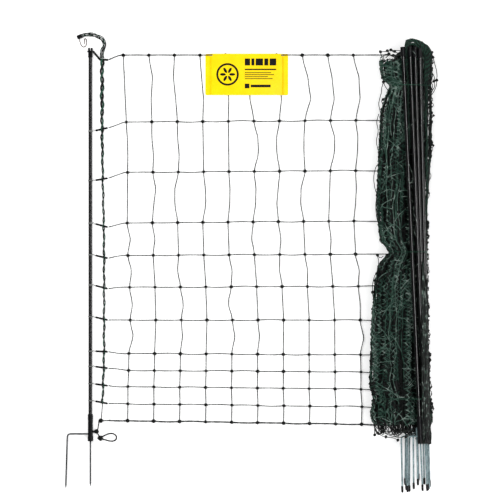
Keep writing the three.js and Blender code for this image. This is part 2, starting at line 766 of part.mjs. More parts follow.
// Round cord along a smooth curve through chosen points
function cordTube(points, diameter, steps) {
  const curve = new THREE.CatmullRomCurve3(points.map((point) => new THREE.Vector3(...point)));
  const section = new THREE.Shape();
  for (let i = 0; i < ROUND_SIDES; i++) {
    const angle = (2 * Math.PI * i) / ROUND_SIDES;
    const x = (diameter / 2) * Math.cos(angle);
    const y = (diameter / 2) * Math.sin(angle);
    if (i === 0) section.moveTo(x, y);
    else section.lineTo(x, y);
  }
  section.closePath();
  return new THREE.ExtrudeGeometry(section, { steps, extrudePath: curve, bevelEnabled: false });
}

function tail() {
  add("tail_cord", cordTube(TAIL_POINTS, TAIL_DIAMETER, TAIL_STEPS), greenCord);
  const end = new THREE.Vector3(...TAIL_POINTS[TAIL_POINTS.length - 1]);
  const before = new THREE.Vector3(...TAIL_POINTS[TAIL_POINTS.length - 2]);
  const along = end.clone().sub(before).normalize();
  const shape = turned(
    [
      [0, CAP_LENGTH],
      [CAP_RADIUS * 0.6, CAP_LENGTH],
      [CAP_RADIUS, CAP_LENGTH * 0.8],
      [CAP_RADIUS, 0],
      [0, 0],
    ],
    CAP_SIDES,
  );
  const cap = add("tail_end_cap", shape, blackPlastic);
  cap.quaternion.setFromUnitVectors(new THREE.Vector3(0, 1, 0), along);
  cap.position.copy(end).addScaledVector(along, CLEARANCE);
  cap.position.z = CAP_RADIUS + CLEARANCE;
  const halves = CLIP_POINTS.map(() => CLIP_RADIUS);
  add("tail_clip", strand(CLIP_POINTS, halves, CLIP_SIDES), steelWire);
}

function tieLoop() {
  const fromLug = ([x, y, z]) => [x, y + lugLevel(), z];
  const route = LOOP_POINTS.map(fromLug);
  add("tie_loop_cord", cordTube(route, LOOP_DIAMETER, LOOP_STEPS), blackPlastic);
  const knot = new THREE.SphereGeometry(LOOP_KNOT_RADIUS, ROUND_SIDES, 5);
  knot.translate(...fromLug(LOOP_KNOT));
  const leadPoints = LOOP_LEAD_POINTS.map(fromLug);
  const lead = strand(leadPoints, leadPoints.map(() => LOOP_LEAD_HALF), 4);
  add("tie_loop_knot", geometryOf(solidOf(knot).add(solidOf(lead))), blackPlastic);
}

firstPost();
lines();
verticals();
edgeCord();
warningPlate();
tail();
tieLoop();
gatheredNet();
bundleTies();
bundlePosts();

// The part's origin is the middle of its base, without what lies loose on a cord
const loose = ["tail_cord", "tail_end_cap", "tail_clip", "tie_loop_cord", "tie_loop_knot"];
group.updateMatrixWorld(true);
const extent = new THREE.Box3();
group.traverse((mesh) => {
  if (mesh.isMesh && !loose.includes(mesh.name)) extent.expandByObject(mesh, true);
});
const middle = extent.getCenter(new THREE.Vector3());
group.position.set(-middle.x, -middle.y, -extent.min.z);

const part = new THREE.Group();
part.add(group);
export default part;
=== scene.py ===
# Electric poultry netting: laid out at its first end, gathered and tied at the other
import math

import bpy
import numpy as np
from mathutils import Matrix, Vector, noise


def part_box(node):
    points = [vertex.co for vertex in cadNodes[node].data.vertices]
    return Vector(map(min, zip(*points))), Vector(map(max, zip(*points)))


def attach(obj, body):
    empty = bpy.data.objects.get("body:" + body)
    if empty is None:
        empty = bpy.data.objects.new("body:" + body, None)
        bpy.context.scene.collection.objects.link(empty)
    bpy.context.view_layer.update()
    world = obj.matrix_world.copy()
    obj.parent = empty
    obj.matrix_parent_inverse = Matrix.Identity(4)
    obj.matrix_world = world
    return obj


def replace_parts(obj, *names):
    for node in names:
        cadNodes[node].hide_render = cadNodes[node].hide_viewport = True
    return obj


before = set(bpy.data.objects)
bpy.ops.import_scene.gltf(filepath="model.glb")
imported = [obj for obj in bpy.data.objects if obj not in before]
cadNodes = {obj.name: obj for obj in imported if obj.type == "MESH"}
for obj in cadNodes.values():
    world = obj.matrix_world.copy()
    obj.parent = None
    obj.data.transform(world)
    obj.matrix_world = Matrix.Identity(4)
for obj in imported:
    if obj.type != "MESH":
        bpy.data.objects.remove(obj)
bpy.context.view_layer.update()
scene = bpy.context.scene
chance = np.random.default_rng(11)
mm = 0.001
firstPostX = -0.47549  # axis of the first post
topLineY = 0.63499  # height of the top line
netZ = 4.2 * mm
postZ = 9.6 * mm


def fromPost(points):  # millimetres from the first post and the top line, to the frame
    return np.array(points, dtype=float) * mm + np.array([firstPostX, topLineY, 0])


# Camera, light and floor
view = {"height": 8.0, "frameWidth": 1.511, "aimX": 0.0063, "aimY": 0.0465, "sensor": 36.0}
studio = {
    "sky": 0.5, "softSize": 2.4, "softPower": 62.0, "softPlaces": [(-1.6, 0.9, 2.6), (1.9, -0.8, 2.8)],
    "stripPlace": (1.0, 0.0, 1.4), "stripWide": 0.25, "stripLong": 3.4, "stripPower": 44.0,
    "floorSize": 8.0, "floorGlow": 0.32,
}


def makeCamera():
    data = bpy.data.cameras.new("camera")
    data.sensor_width = view["sensor"]
    data.lens = view["sensor"] * view["height"] / view["frameWidth"]
    camera = bpy.data.objects.new("camera", data)
    camera.location = (view["aimX"], view["aimY"], view["height"])
    scene.collection.objects.link(camera)
    scene.camera = camera


def areaLight(name, place, wide, long, power):
    light = bpy.data.lights.new(name, "AREA")
    light.shape = "RECTANGLE"
    light.size = wide
    light.size_y = long
    light.energy = power
    lamp = bpy.data.objects.new(name, light)
    lamp.location = place
    lamp.rotation_euler = (0, math.atan2(place[0], place[2]), 0)
    scene.collection.objects.link(lamp)
    return lamp


def makeStudio():  # soft light from all round, and a strip that draws a thin gloss line on each rod
    world = bpy.data.worlds.new("studio")
    world.use_nodes = True
    sky = world.node_tree.nodes["Background"]
    sky.inputs["Strength"].default_value = studio["sky"]
    sky.inputs["Color"].default_value = (1, 1, 1, 1)
    scene.world = world
    world.cycles_visibility.glossy = False
    for number, place in enumerate(studio["softPlaces"]):
        size = studio["softSize"]
        soft = areaLight(f"softLight{number}", place, size, size, studio["softPower"])
        soft.rotation_euler = (-Vector(place)).to_track_quat("-Z", "Y").to_euler()
        soft.visible_glossy = False
    strip = areaLight("stripLight", studio["stripPlace"], studio["stripWide"], studio["stripLong"],
                      studio["stripPower"])
    strip.visible_diffuse = False
    scene.view_settings.view_transform = "Standard"
    deselect()
    bpy.ops.mesh.primitive_plane_add(size=studio["floorSize"], location=(0, 0, -0.5 * mm))
    floor = bpy.context.active_object
    floor.name = "floor"
    floor.data.materials.append(finishes["floor"])
    shader = finishes["floor"].node_tree.nodes["Principled BSDF"]
    shader.inputs["Emission Color"].default_value = (1, 1, 1, 1)
    shader.inputs["Emission Strength"].default_value = studio["floorGlow"]


def deselect():
    if bpy.context.object and bpy.context.object.mode != "OBJECT":
        bpy.ops.object.mode_set(mode="OBJECT")
    bpy.ops.object.select_all(action="DESELECT")


def activate(piece):
    deselect()
    piece.select_set(True)
    bpy.context.view_layer.objects.active = piece


def applyModifier(piece, kind, **settings):
    modifier = piece.modifiers.new(kind.lower(), kind)
    for setting, value in settings.items():
        setattr(modifier, setting, value)
    activate(piece)
    bpy.ops.object.modifier_apply(modifier=modifier.name)


def cleaned(piece, threshold):  # merges points that meet and turns all faces outward
    activate(piece)
    bpy.ops.object.mode_set(mode="EDIT")
    bpy.ops.mesh.select_all(action="SELECT")
    bpy.ops.mesh.remove_doubles(threshold=threshold)
    bpy.ops.mesh.normals_make_consistent(inside=False)
    bpy.ops.object.mode_set(mode="OBJECT")


def meshOf(piece):  # keeps a pattern's mesh and removes its object
    mesh = piece.data.copy()
    bpy.data.objects.remove(piece)
    return mesh


# Finishes
finishes = {}
looks = {  # darkest and lightest colour, roughness, and scale of the grain
    "netTwine": ((0.008, 0.011, 0.010), (0.034, 0.043, 0.038), 0.6, 900.0),
    "topTwine": ((0.006, 0.008, 0.007), (0.028, 0.033, 0.03), 0.55, 900.0),
    "blackTwine": ((0.002, 0.003, 0.003), (0.011, 0.012, 0.011), 0.55, 700.0),
    "greenTwine": ((0.005, 0.022, 0.014), (0.026, 0.085, 0.056), 0.6, 700.0),
    "blackPlastic": ((0.003, 0.003, 0.004), (0.008, 0.008, 0.009), 0.45, 1400.0),
    "yellowPlastic": ((0.93, 0.66, 0.0), (1.0, 0.74, 0.002), 0.45, 260.0),
    "tieString": ((0.11, 0.115, 0.11), (0.30, 0.31, 0.30), 0.6, 900.0),
    "printBlack": ((0.005, 0.005, 0.005), (0.011, 0.011, 0.011), 0.5, 500.0),
    "clipSteel": ((0.07, 0.055, 0.05), (0.24, 0.185, 0.17), 0.38, 400.0),
    "darkSteel": ((0.03, 0.032, 0.034), (0.13, 0.135, 0.14), 0.4, 260.0),
    "galvanised": ((0.09, 0.14, 0.15), (0.30, 0.39, 0.41), 0.42, 260.0),
    "floor": ((0.9, 0.9, 0.9), (0.93, 0.93, 0.93), 0.9, 3.0),
}


def addNode(tree, kind, inputs=None, **settings):
    node = tree.nodes.new("ShaderNode" + kind)
    for setting, value in settings.items():
        setattr(node, setting, value)
    for socket, value in (inputs or {}).items():
        node.inputs[socket].default_value = value
    return node


def joinNodes(tree, *links):
    for start, out, end, into in links:
        tree.links.new(start.outputs[out], end.inputs[into])


def startFinish(name, inputs):
    material = bpy.data.materials.new(name)
    material.use_nodes = True
    shader = material.node_tree.nodes["Principled BSDF"]
    for socket, value in inputs.items():
        shader.inputs[socket].default_value = value
    finishes[name] = material
    return material.node_tree, shader


def grainGroup():
    tree = bpy.data.node_groups.new("fineGrain", "ShaderNodeTree")
    sockets = [("Dark", "INPUT", "Color"), ("Light", "INPUT", "Color"), ("Scale", "INPUT", "Float"),
               ("Color", "OUTPUT", "Color"), ("Height", "OUTPUT", "Float")]
    for name, side, kind in sockets:
        tree.interface.new_socket(name=name, in_out=side, socket_type="NodeSocket" + kind)
    start = tree.nodes.new("NodeGroupInput")
    end = tree.nodes.new("NodeGroupOutput")
    place = addNode(tree, "TexCoord")
    fine = addNode(tree, "TexNoise", {"Detail": 3.0})
    broad = addNode(tree, "TexNoise", {"Scale": 38.0})
    both = addNode(tree, "Math", operation="MULTIPLY")
    lift = addNode(tree, "MapRange", {"From Min": 0.14, "From Max": 0.38})
    tone = addNode(tree, "Mix", data_type="RGBA")
    joinNodes(tree, (place, "Object", fine, "Vector"), (place, "Object", broad, "Vector"),
              (start, "Scale", fine, "Scale"), (fine, "Fac", both, 0), (broad, "Fac", both, 1),
              (both, 0, lift, "Value"), (lift, 0, tone, "Factor"), (start, "Dark", tone, "A"),
              (start, "Light", tone, "B"), (tone, "Result", end, "Color"), (fine, "Fac", end, "Height"))


def plainFinish(name, metallic):
    dark, light, rough, scale = looks[name]
    tree, shader = startFinish(name, {"Roughness": rough, "Metallic": metallic, "Specular IOR Level": 0.14})
    grain = addNode(tree, "Group", node_tree=bpy.data.node_groups["fineGrain"])
    for socket, value in (("Dark", (*dark, 1)), ("Light", (*light, 1)), ("Scale", scale)):
        grain.inputs[socket].default_value = value
    relief = addNode(tree, "Bump", {"Strength": 0.15, "Distance": 0.3 * mm})
    joinNodes(tree, (grain, "Color", shader, "Base Color"), (grain, "Height", relief, "Height"),
              (relief, "Normal", shader, "Normal"))


rodLook = {"dark": (0.003, 0.003, 0.003), "light": (0.006, 0.006, 0.007), "rough": 0.19, "coat": 0.25}


def rodFinish():  # glass fibre, with fibres drawn out along the rod
    tree, shader = startFinish(
        "glassFibre", {"Roughness": rodLook["rough"], "Coat Weight": rodLook["coat"]}
    )
    place = addNode(tree, "TexCoord")
    stretch = addNode(tree, "Mapping", {"Scale": (1800, 25, 1800)})
    fibres = addNode(tree, "TexNoise", {"Scale": 1.0})
    ends = {"A": (*rodLook["dark"], 1), "B": (*rodLook["light"], 1)}
    tone = addNode(tree, "Mix", ends, data_type="RGBA")
    relief = addNode(tree, "Bump", {"Strength": 0.12, "Distance": 0.1 * mm})
    joinNodes(tree, (place, "Object", stretch, "Vector"), (stretch, "Vector", fibres, "Vector"),
              (fibres, "Fac", tone, "Factor"), (fibres, "Fac", relief, "Height"),
              (tone, "Result", shader, "Base Color"), (relief, "Normal", shader, "Normal"))


# Each tone: its colour on the left of the posts, the same tone darkened as painted shade beside and behind
# the posts on the right, and a pale tone in spots
gatheredLooks = {
    "foldGreen": {"left": (0.012, 0.042, 0.029), "right": (0.004, 0.007, 0.005), "pale": (0.08, 0.16, 0.12)},
    # A light grey-green copy of the green twine: painted highlight for the strands that lie outermost
    "foldPale": {"left": (0.055, 0.105, 0.082), "right": (0.020, 0.026, 0.022), "pale": (0.36, 0.44, 0.40)},
    # A nearly black copy of the green twine: painted shade for the depths of the bundle
    "foldDark": {"left": (0.0008, 0.002, 0.0015), "right": (0.001, 0.001, 0.001),
                 "pale": (0.003, 0.007, 0.005)},
}
# Line along the posts, past which the twine is darkened as painted shade
postsShadeEdge = {"topX": 0.468, "topY": 0.63, "bottomX": 0.503, "bottomY": -0.50, "blur": 0.014}


def gatheredFinish(name):  # green on the left of the posts, with painted shade that makes it nearly black beside and behind them
    look = gatheredLooks[name]
    tree, shader = startFinish(name, {"Roughness": 0.65, "Specular IOR Level": 0.2})
    slope = (postsShadeEdge["bottomX"] - postsShadeEdge["topX"]) / (postsShadeEdge["bottomY"] - postsShadeEdge["topY"])
    middle = postsShadeEdge["topX"] - slope * postsShadeEdge["topY"]
    place = addNode(tree, "TexCoord")
    across = addNode(tree, "VectorMath", operation="DOT_PRODUCT")
    across.inputs[1].default_value = (1, -slope, 0)
    limits = {"From Min": middle - postsShadeEdge["blur"], "From Max": middle + postsShadeEdge["blur"]}
    # 0 on the left of the posts, 1 where painted shade darkens the twine beside and behind them
    side = addNode(tree, "MapRange", limits)
    sides = {"A": (*look["left"], 1), "B": (*look["right"], 1)}
    ground = addNode(tree, "Mix", sides, data_type="RGBA")
    spots = addNode(tree, "TexNoise", {"Scale": 75.0, "Detail": 4.0})
    share = addNode(tree, "MapRange", {"From Min": 0.5, "From Max": 0.72, "To Max": 0.7})
    tone = addNode(tree, "Mix", {"B": (*look["pale"], 1)}, data_type="RGBA")
    fine = addNode(tree, "TexNoise", {"Scale": 900.0})
    relief = addNode(tree, "Bump", {"Strength": 0.3, "Distance": 0.4 * mm})
    joinNodes(tree, (place, "Object", across, 0), (across, "Value", side, "Value"),
              (side, 0, ground, "Factor"), (place, "Object", spots, "Vector"),
              (place, "Object", fine, "Vector"), (spots, "Fac", share, "Value"),
              (share, 0, tone, "Factor"), (ground, "Result", tone, "A"),
              (tone, "Result", shader, "Base Color"), (fine, "Fac", relief, "Height"),
              (relief, "Normal", shader, "Normal"))


grainGroup()
for look in looks:
    plainFinish(look, {"galvanised": 0.15, "clipSteel": 0.3, "darkSteel": 0.3}.get(look, 0.0))
rodFinish()
for look in gatheredLooks:
    gatheredFinish(look)
makeCamera()
makeStudio()
print("camera, light and finishes")


# Reading the frame
def triangles(node):
    mesh = cadNodes[node].data
    mesh.calc_loop_triangles()
    corners = np.empty(len(mesh.vertices) * 3)
    mesh.vertices.foreach_get("co", corners)
    index = np.empty(len(mesh.loop_triangles) * 3, dtype=int)
    mesh.loop_triangles.foreach_get("vertices", index)
    return corners.reshape(-1, 3)[index].reshape(-1, 3, 3)


def crossing(shape, axis, level):  # points where the triangles meet a plane across one axis
    starts = shape.reshape(-1, 3)
    ends = np.roll(shape, -1, axis=1).reshape(-1, 3)
    before = starts[:, axis] - level
    after = ends[:, axis] - level
    meets = before * after < 0
    share = (before[meets] / (before[meets] - after[meets]))[:, None]
    return starts[meets] + (ends[meets] - starts[meets]) * share


def track(shape, axis, start, end, count):  # middle of the solid at even levels
    found = []
    for level in np.linspace(start, end, count):
        points = crossing(shape, axis, level)
        if len(points):
            found.append((points.min(axis=0) + points.max(axis=0)) / 2)
    return np.array(found)


def evenly(path, step):
    path = np.asarray(path, dtype=float)
    lengths = np.linalg.norm(np.diff(path, axis=0), axis=1)
    along = np.concatenate([[0], np.cumsum(lengths)])
    count = max(int(along[-1] / step), 2) + 1
    places = np.linspace(0, along[-1], count)
    return np.column_stack([np.interp(places, along, path[:, i]) for i in range(3)])


def curved(points, step):  # smooth curve through a few chosen points
    points = np.asarray(points, dtype=float)
    ends = np.vstack([2 * points[0] - points[1], points, 2 * points[-1] - points[-2]])
    dense = []
    for i in range(len(points) - 1):
        p0, p1, p2, p3 = ends[i : i + 4]
        for t in np.linspace(0, 1, 12, endpoint=False):
            bend = (2 * p0 - 5 * p1 + 4 * p2 - p3) * t**2 + (3 * p1 - p0 - 3 * p2 + p3) * t**3
            dense.append(0.5 * (2 * p1 + (p2 - p0) * t + bend))
    dense.append(points[-1])
    return evenly(dense, step)


def plies(path, radius, count, pitch, step, start=0.0, flat=1.0):  # strands twisted round a path
    path = evenly(path, step)
    along = np.gradient(path, axis=0)
    along /= np.linalg.norm(along, axis=1)[:, None]
    normal = np.array([0.0, 0.0, 1.0]) if abs(along[0][2]) < 0.9 else np.array([1.0, 0.0, 0.0])
    normals = []
    for direction in along:
        normal = normal - direction * np.dot(normal, direction)
        normal = normal / np.linalg.norm(normal)
        normals.append(normal)
    normals = np.array(normals)
    across = np.cross(along, normals)
    turn = np.arange(len(path)) * step / pitch * 2 * math.pi + start
    given = np.atleast_1d(radius)
    reach = np.interp(np.linspace(0, 1, len(path)), np.linspace(0, 1, len(given)), given)
    strands = []
    for k in range(count):
        angle = turn + 2 * math.pi * k / count
        offset = np.cos(angle)[:, None] * normals + np.sin(angle)[:, None] * across
        offset[:, 2] *= flat
        strands.append(path + offset * reach[:, None])
    return strands


def strandPiece(name, paths, thickness, finish, body="net", sides=0, radii=None, closed=False):
    curve = bpy.data.curves.new(name, "CURVE")
    curve.dimensions = "3D"
    curve.bevel_depth = thickness / 2
    curve.bevel_resolution = sides
    curve.use_fill_caps = True
    names = [finish] if isinstance(finish, str) else finish
    for each in names:
        curve.materials.append(finishes[each])
    for number, path in enumerate(paths):
        spline = curve.splines.new("POLY")
        spline.points.add(len(path) - 1)
        spline.points.foreach_set("co", np.column_stack([path, np.ones(len(path))]).ravel())
        if radii is not None:
            spline.points.foreach_set("radius", radii[number])
        spline.use_cyclic_u = closed
        spline.use_smooth = True
        spline.material_index = number % len(names)
    piece = bpy.data.objects.new(name, curve)
    scene.collection.objects.link(piece)
    activate(piece)
    bpy.ops.object.convert(target="MESH")
    piece = bpy.context.active_object
    cleaned(piece, 0.001 * mm)
    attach(piece, body)
    return piece


def scattered(name, pattern, places, finish, body="net"):  # copies of one small mesh, joined
    corners = np.array([vertex.co for vertex in pattern.vertices])
    faces = [list(face.vertices) for face in pattern.polygons]
    allCorners = []
    allFaces = []
    for place, turn, size in places:
        rotate = np.array(Matrix.Rotation(turn, 3, "Z"))
        first = len(corners) * len(allCorners)
        allCorners.append(corners @ rotate.T * size + np.asarray(place))
        allFaces += [[first + corner for corner in face] for face in faces]
    mesh = bpy.data.meshes.new(name)
    mesh.from_pydata(np.vstack(allCorners).tolist(), [], allFaces)
    piece = bpy.data.objects.new(name, mesh)
    scene.collection.objects.link(piece)
    mesh.materials.append(finishes[finish])
    mesh.polygons.foreach_set("use_smooth", [True] * len(mesh.polygons))
    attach(piece, body)
    return piece


# The open net
net = {"thickness": 2.2 * mm, "plyReach": 0.7 * mm, "pitch": 9 * mm, "step": 2 * mm, "sag": 1.9 * mm}
lineShapes = [triangles(f"line_{row + 1:02d}") for row in range(12)]
verticalShapes = [triangles(f"vertical_{column + 1:02d}") for column in range(10)]
verticalTracks = []
for shape in verticalShapes:
    low, high = shape[:, :, 1].min(), shape[:, :, 1].max()
    verticalTracks.append(track(shape, 1, high - 0.3 * mm, low + 0.3 * mm, 150))
afterSleeve = firstPostX + 55 * mm


def lineTrack(row):
    shape = lineShapes[row]
    return track(shape, 0, afterSleeve, shape[:, :, 0].max() - 0.5 * mm, 90)


lineTracks = [lineTrack(row) for row in range(12)]
knotPlaces = []
for row, path in enumerate(lineTracks):
    for upright in verticalTracks:
        rough = np.interp(path[:, 0].mean(), path[:, 0], path[:, 1])
        x = np.interp(-rough, -upright[:, 1], upright[:, 0])
        knotPlaces.append((row, x, np.interp(x, path[:, 0], path[:, 1])))


def sagging(row):  # the line bends a little between knots and is straight through them
    path = evenly(lineTracks[row], 4 * mm)
    stops = [afterSleeve] + [x for r, x, _ in knotPlaces if r == row] + [path[-1][0]]
    for start, end in zip(stops, stops[1:]):
        inside = (path[:, 0] > start) & (path[:, 0] < end)
        share = (path[inside, 0] - start) / (end - start)
        depth = 0.3 if row == 0 else chance.uniform(-1, 1)
        path[inside, 1] += net["sag"] * depth * np.sin(math.pi * share)
    return path


def openNet():
    for row in range(12):
        name = f"line_{row + 1:02d}"
        finish = "netTwine" if 0 < row < 11 else "topTwine"
        wide = {0: 1.15, 11: 1.5}.get(row, 1.0)
        strands = plies(sagging(row), net["plyReach"] * wide, 2, net["pitch"], net["step"])
        piece = strandPiece(f"twine_{name}", strands, net["thickness"] * wide, finish)
        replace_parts(piece, name)
    for column, path in enumerate(verticalTracks):
        name = f"vertical_{column + 1:02d}"
        smooth = curved(np.vstack([path[:-1:3], path[-1:]]), 3 * mm)
        strands = plies(smooth, net["plyReach"], 2, net["pitch"], net["step"])
        piece = strandPiece(f"twine_{name}", strands, net["thickness"], "netTwine")
        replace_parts(piece, name)


knot = {"width": 11.0 * mm, "height": 9.8 * mm, "depth": 7.2 * mm}


def knotPattern():  # a hitch: a pointed lump with a waist where the strands cross
    deselect()
    bpy.ops.mesh.primitive_uv_sphere_add(segments=8, ring_count=6, radius=0.5)
    pattern = bpy.context.active_object
    bpy.ops.transform.resize(value=(knot["width"], knot["height"], knot["depth"]))
    bpy.ops.object.transform_apply(location=False, rotation=False, scale=True)
    for vertex in pattern.data.vertices:
        corner = abs(vertex.co.x) / knot["width"] + abs(vertex.co.y) / knot["height"]
        vertex.co.xy *= 1.12 - 0.5 * max(corner - 0.5, 0)
    return meshOf(pattern)


def netKnots(pattern):
    places = []
    for row, x, y in knotPlaces:
        turn = chance.uniform(-0.35, 0.35)
        size = chance.uniform(0.85, 1.08) * (1.1 if row in (0, 11) else 1.0)
        places.append(((x, y, netZ + 0.2 * mm), turn, size))
    scattered("net_knots", pattern, places, "blackTwine")


openNet()
smallKnot = knotPattern()
netKnots(smallKnot)
print("open net")


# Edge cord and the ties to the first post
edge = {"ply": 6.3 * mm, "reach": 3.6 * mm, "low": 0.6, "turnFrom": 0.22, "pitch": 50 * mm, "flat": 0.8,
        "end": 2.6 * mm}


def edgeCord():
    shape = triangles("edge_cord")
    low, high = shape[:, :, 1].min(), shape[:, :, 1].max()
    path = track(shape, 1, high - 0.4 * mm, low + 0.4 * mm, 160)
    split = lineTracks[10][0][1] - 4 * mm
    cord = evenly(path[path[:, 1] > split], 3 * mm)
    cord[:, 0] += 0.9 * mm * np.sin(cord[:, 1] * 95)
    share = np.clip((np.linspace(0, 1, len(cord)) - edge["turnFrom"] / 2) / edge["turnFrom"], 0, 1)
    size = 1 - (1 - edge["low"]) * share
    strands = plies(cord, edge["reach"] * size, 2, edge["pitch"], 3 * mm, flat=edge["flat"])
    size = np.interp(np.linspace(0, 1, len(strands[0])), np.linspace(0, 1, len(size)), size)
    piece = strandPiece("edge_cord_strands", strands, edge["ply"], ["greenTwine", "blackTwine"],
                        sides=1, radii=[size] * len(strands))
    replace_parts(piece, "edge_cord")
    end = path[path[:, 1] <= split + 6 * mm]
    strandPiece("edge_cord_end", [end], edge["end"], "blackTwine", sides=1)


def ringLevel(shape):  # height at which a line is tied round the first post
    left = shape[:, :, 0].ravel() < firstPostX
    return shape[:, :, 1].ravel()[left].mean()


def ringRound(turn, reach, y):  # a string round the first post
    return np.column_stack([firstPostX + reach * np.cos(turn), y, postZ - reach * np.sin(turn)])


tie = {"ringReach": 6.9 * mm, "string": 1.6 * mm, "sleeve": 5.6 * mm, "start": 15.0, "end": 52.0}


def ties():
    sleeves = []
    sleeveSizes = []
    strings = []
    for row in range(1, 11):
        shape = lineShapes[row]
        sleeve = track(shape, 0, firstPostX + tie["start"] * mm, firstPostX + tie["end"] * mm, 14)
        sleeves.append(sleeve)
        size = np.full(len(sleeve), 1.0)
        size[[0, -1]] = 0.72
        size[[1, -2]] = 1.1
        sleeveSizes.append(size)
        turn = np.linspace(0.15, 4.0 * math.pi, 44)
        ring = ringRound(turn, tie["ringReach"], ringLevel(shape) + np.linspace(-1, 1, 44) * 1.1 * mm)
        bend = [ring[-1], ring[-1] + [3 * mm, 0, -2 * mm], sleeve[0] + [-2 * mm, 0, 0], sleeve[1]]
        lead = curved(bend, 1 * mm)
        strings.append(np.vstack([ring, lead[1:]]))
    strandPiece("tie_sleeves", sleeves, tie["sleeve"], "blackPlastic", sides=3,
                radii=sleeveSizes)
    strandPiece("tie_strings", strings, tie["string"], "tieString", sides=1)


strap = {"reach": 1.9 * mm, "ply": 3.3 * mm, "pitch": 20 * mm, "ring": 8.7 * mm, "string": 2.2 * mm}


def topStrap():  # thick cord from the head of the first post to the top line
    shape = lineShapes[0]
    ring = ringRound(np.linspace(0, 2 * math.pi, 26), strap["ring"], np.full(26, ringLevel(shape)))
    middle = track(shape, 0, firstPostX + 17 * mm, firstPostX + 53 * mm, 10)
    path = curved([ring[-1], *middle[1::2], middle[-1]], 2 * mm)
    strands = plies(path, strap["reach"], 3, strap["pitch"], 2 * mm)
    strandPiece("top_strap", strands, strap["ply"], "blackTwine", sides=1)
    rings = [ring + [0, 1.1 * mm, 0], ring - [0, 1.1 * mm, 0]]
    strandPiece("top_strap_ring", rings, strap["string"], "blackTwine", sides=1)


cornerTie = {
    "points": [[26, -1105, 4.2], [24, -1118, 4.2], [22, -1129, 4.3], [18, -1136.5, 4.4]],
    "knots": [[17.8, -1136.5, 4.4], [31, -1104, 4.4]],
    "thickness": 3.2 * mm, "knotSize": 1.35,
}


def bottomCorner():
    path = curved(fromPost(cornerTie["points"]), 2 * mm)
    first = lineTracks[11][0]
    path = np.vstack([[first], path])
    strandPiece("corner_string", [path], cornerTie["thickness"], "blackTwine", sides=1)
    knots = enumerate(fromPost(cornerTie["knots"]))
    places = [(place, 0.4 * i, cornerTie["knotSize"]) for i, place in knots]
    scattered("corner_knots", smallKnot, places, "blackTwine")


edgeCord()
ties()
topStrap()
bottomCorner()
print("edge cord and ties")


# Turned and bent pieces of a post, about its own axis: head at the top, -Y down, outer prong to -X
def turnedPiece(name, profile, sides):
    deselect()
    radius, start = profile[0]
    bpy.ops.mesh.primitive_circle_add(
        vertices=sides, radius=radius, fill_type="NGON", rotation=(math.pi / 2, 0, 0), location=(0, start, 0)
    )
    piece = bpy.context.active_object
    piece.name = name
    bpy.ops.object.transform_apply()
    bpy.ops.object.mode_set(mode="EDIT")
    bpy.ops.mesh.select_all(action="SELECT")
    for (before, start), (after, end) in zip(profile, profile[1:]):
        bpy.ops.mesh.extrude_region_move(TRANSFORM_OT_translate={"value": (0, end - start, 0)})
        share = after / before
        bpy.ops.transform.resize(value=(share, 1, share), center_override=(0, end, 0))
    bpy.ops.mesh.select_all(action="SELECT")
    bpy.ops.mesh.normals_make_consistent(inside=False)
    bpy.ops.object.mode_set(mode="OBJECT")
    bpy.ops.object.shade_smooth_by_angle(angle=math.radians(32))
    return piece


def cutBox(piece, size, place):
    deselect()
    bpy.ops.mesh.primitive_cube_add(size=1, location=place)
    tool = bpy.context.active_object
    bpy.ops.transform.resize(value=size)
    bpy.ops.object.transform_apply()
    applyModifier(piece, "BOOLEAN", operation="DIFFERENCE", object=tool)
    bpy.data.objects.remove(tool)


post = {
    "rod": [(5.7, -1150), (5.7, -760), (5.7, -400), (5.7, -12)],
    "head": [(5.9, -29), (7.1, -28.4), (7.3, -27), (6.9, -24), (6.9, -12), (7.4, -10), (7.4, -1.2),
             (6.4, 0)],
    "headSlot": (3.2, 19, 24),
    "sleeve": [(7.0, -1187), (8.6, -1186), (8.6, -1176), (7.6, -1166), (7.4, -1125), (7.9, -1121),
               (7.9, -1108), (7.1, -1105)],
    "spikeNotch": (9, 24, 5.8),
    "spike": 5.1,
    "mainProng": [[0, -1150, 0], [0, -1200, 0], [0, -1314, 0], [0, -1323, 0]],
    "outerProng": [[0, -1165, 0], [-30, -1165, 0], [-60, -1165, 0], [-66.5, -1166.8, 0], [-69.3, -1172, 0],
                   [-69.9, -1180, 0], [-72, -1250, 0], [-74.2, -1320, 0], [-74.5, -1329, 0]],
    "cap": [(2.6, 15), (3.5, 13.5), (3.6, 2), (3.0, -4), (2.2, -5)],
}


def millimetres(profile):
    return [(radius * mm, along * mm) for radius, along in profile]


def spikeMesh():
    paths = [np.array(post["mainProng"]) * mm, np.array(post["outerProng"]) * mm]
    radii = [np.ones(len(path)) for path in paths]
    for size in radii:
        size[-1] = 0.25
    spike = strandPiece("spikePattern", paths, post["spike"] * mm, "galvanised", sides=4,
                        radii=radii)
    return meshOf(spike)


def postPatterns():
    patterns = {"rod": turnedPiece("rodPattern", millimetres(post["rod"]), 24)}
    patterns["head"] = turnedPiece("headPattern", millimetres(post["head"]), 24)
    cutBox(patterns["head"], Vector(post["headSlot"]) * mm, (0, 0, 0))
    patterns["sleeve"] = turnedPiece("sleevePattern", millimetres(post["sleeve"]), 24)
    cutBox(patterns["sleeve"], Vector(post["spikeNotch"]) * mm, (-6 * mm, -1174 * mm, 0))
    meshes = {name: meshOf(piece) for name, piece in patterns.items()}
    meshes["spike"] = spikeMesh()
    return meshes


def placed(name, mesh, place, finish):
    mesh = mesh.copy()
    mesh.transform(place)
    mesh.materials.clear()
    mesh.materials.append(finishes[finish])
    piece = bpy.data.objects.new(name, mesh)
    scene.collection.objects.link(piece)
    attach(piece, "net")
    return piece


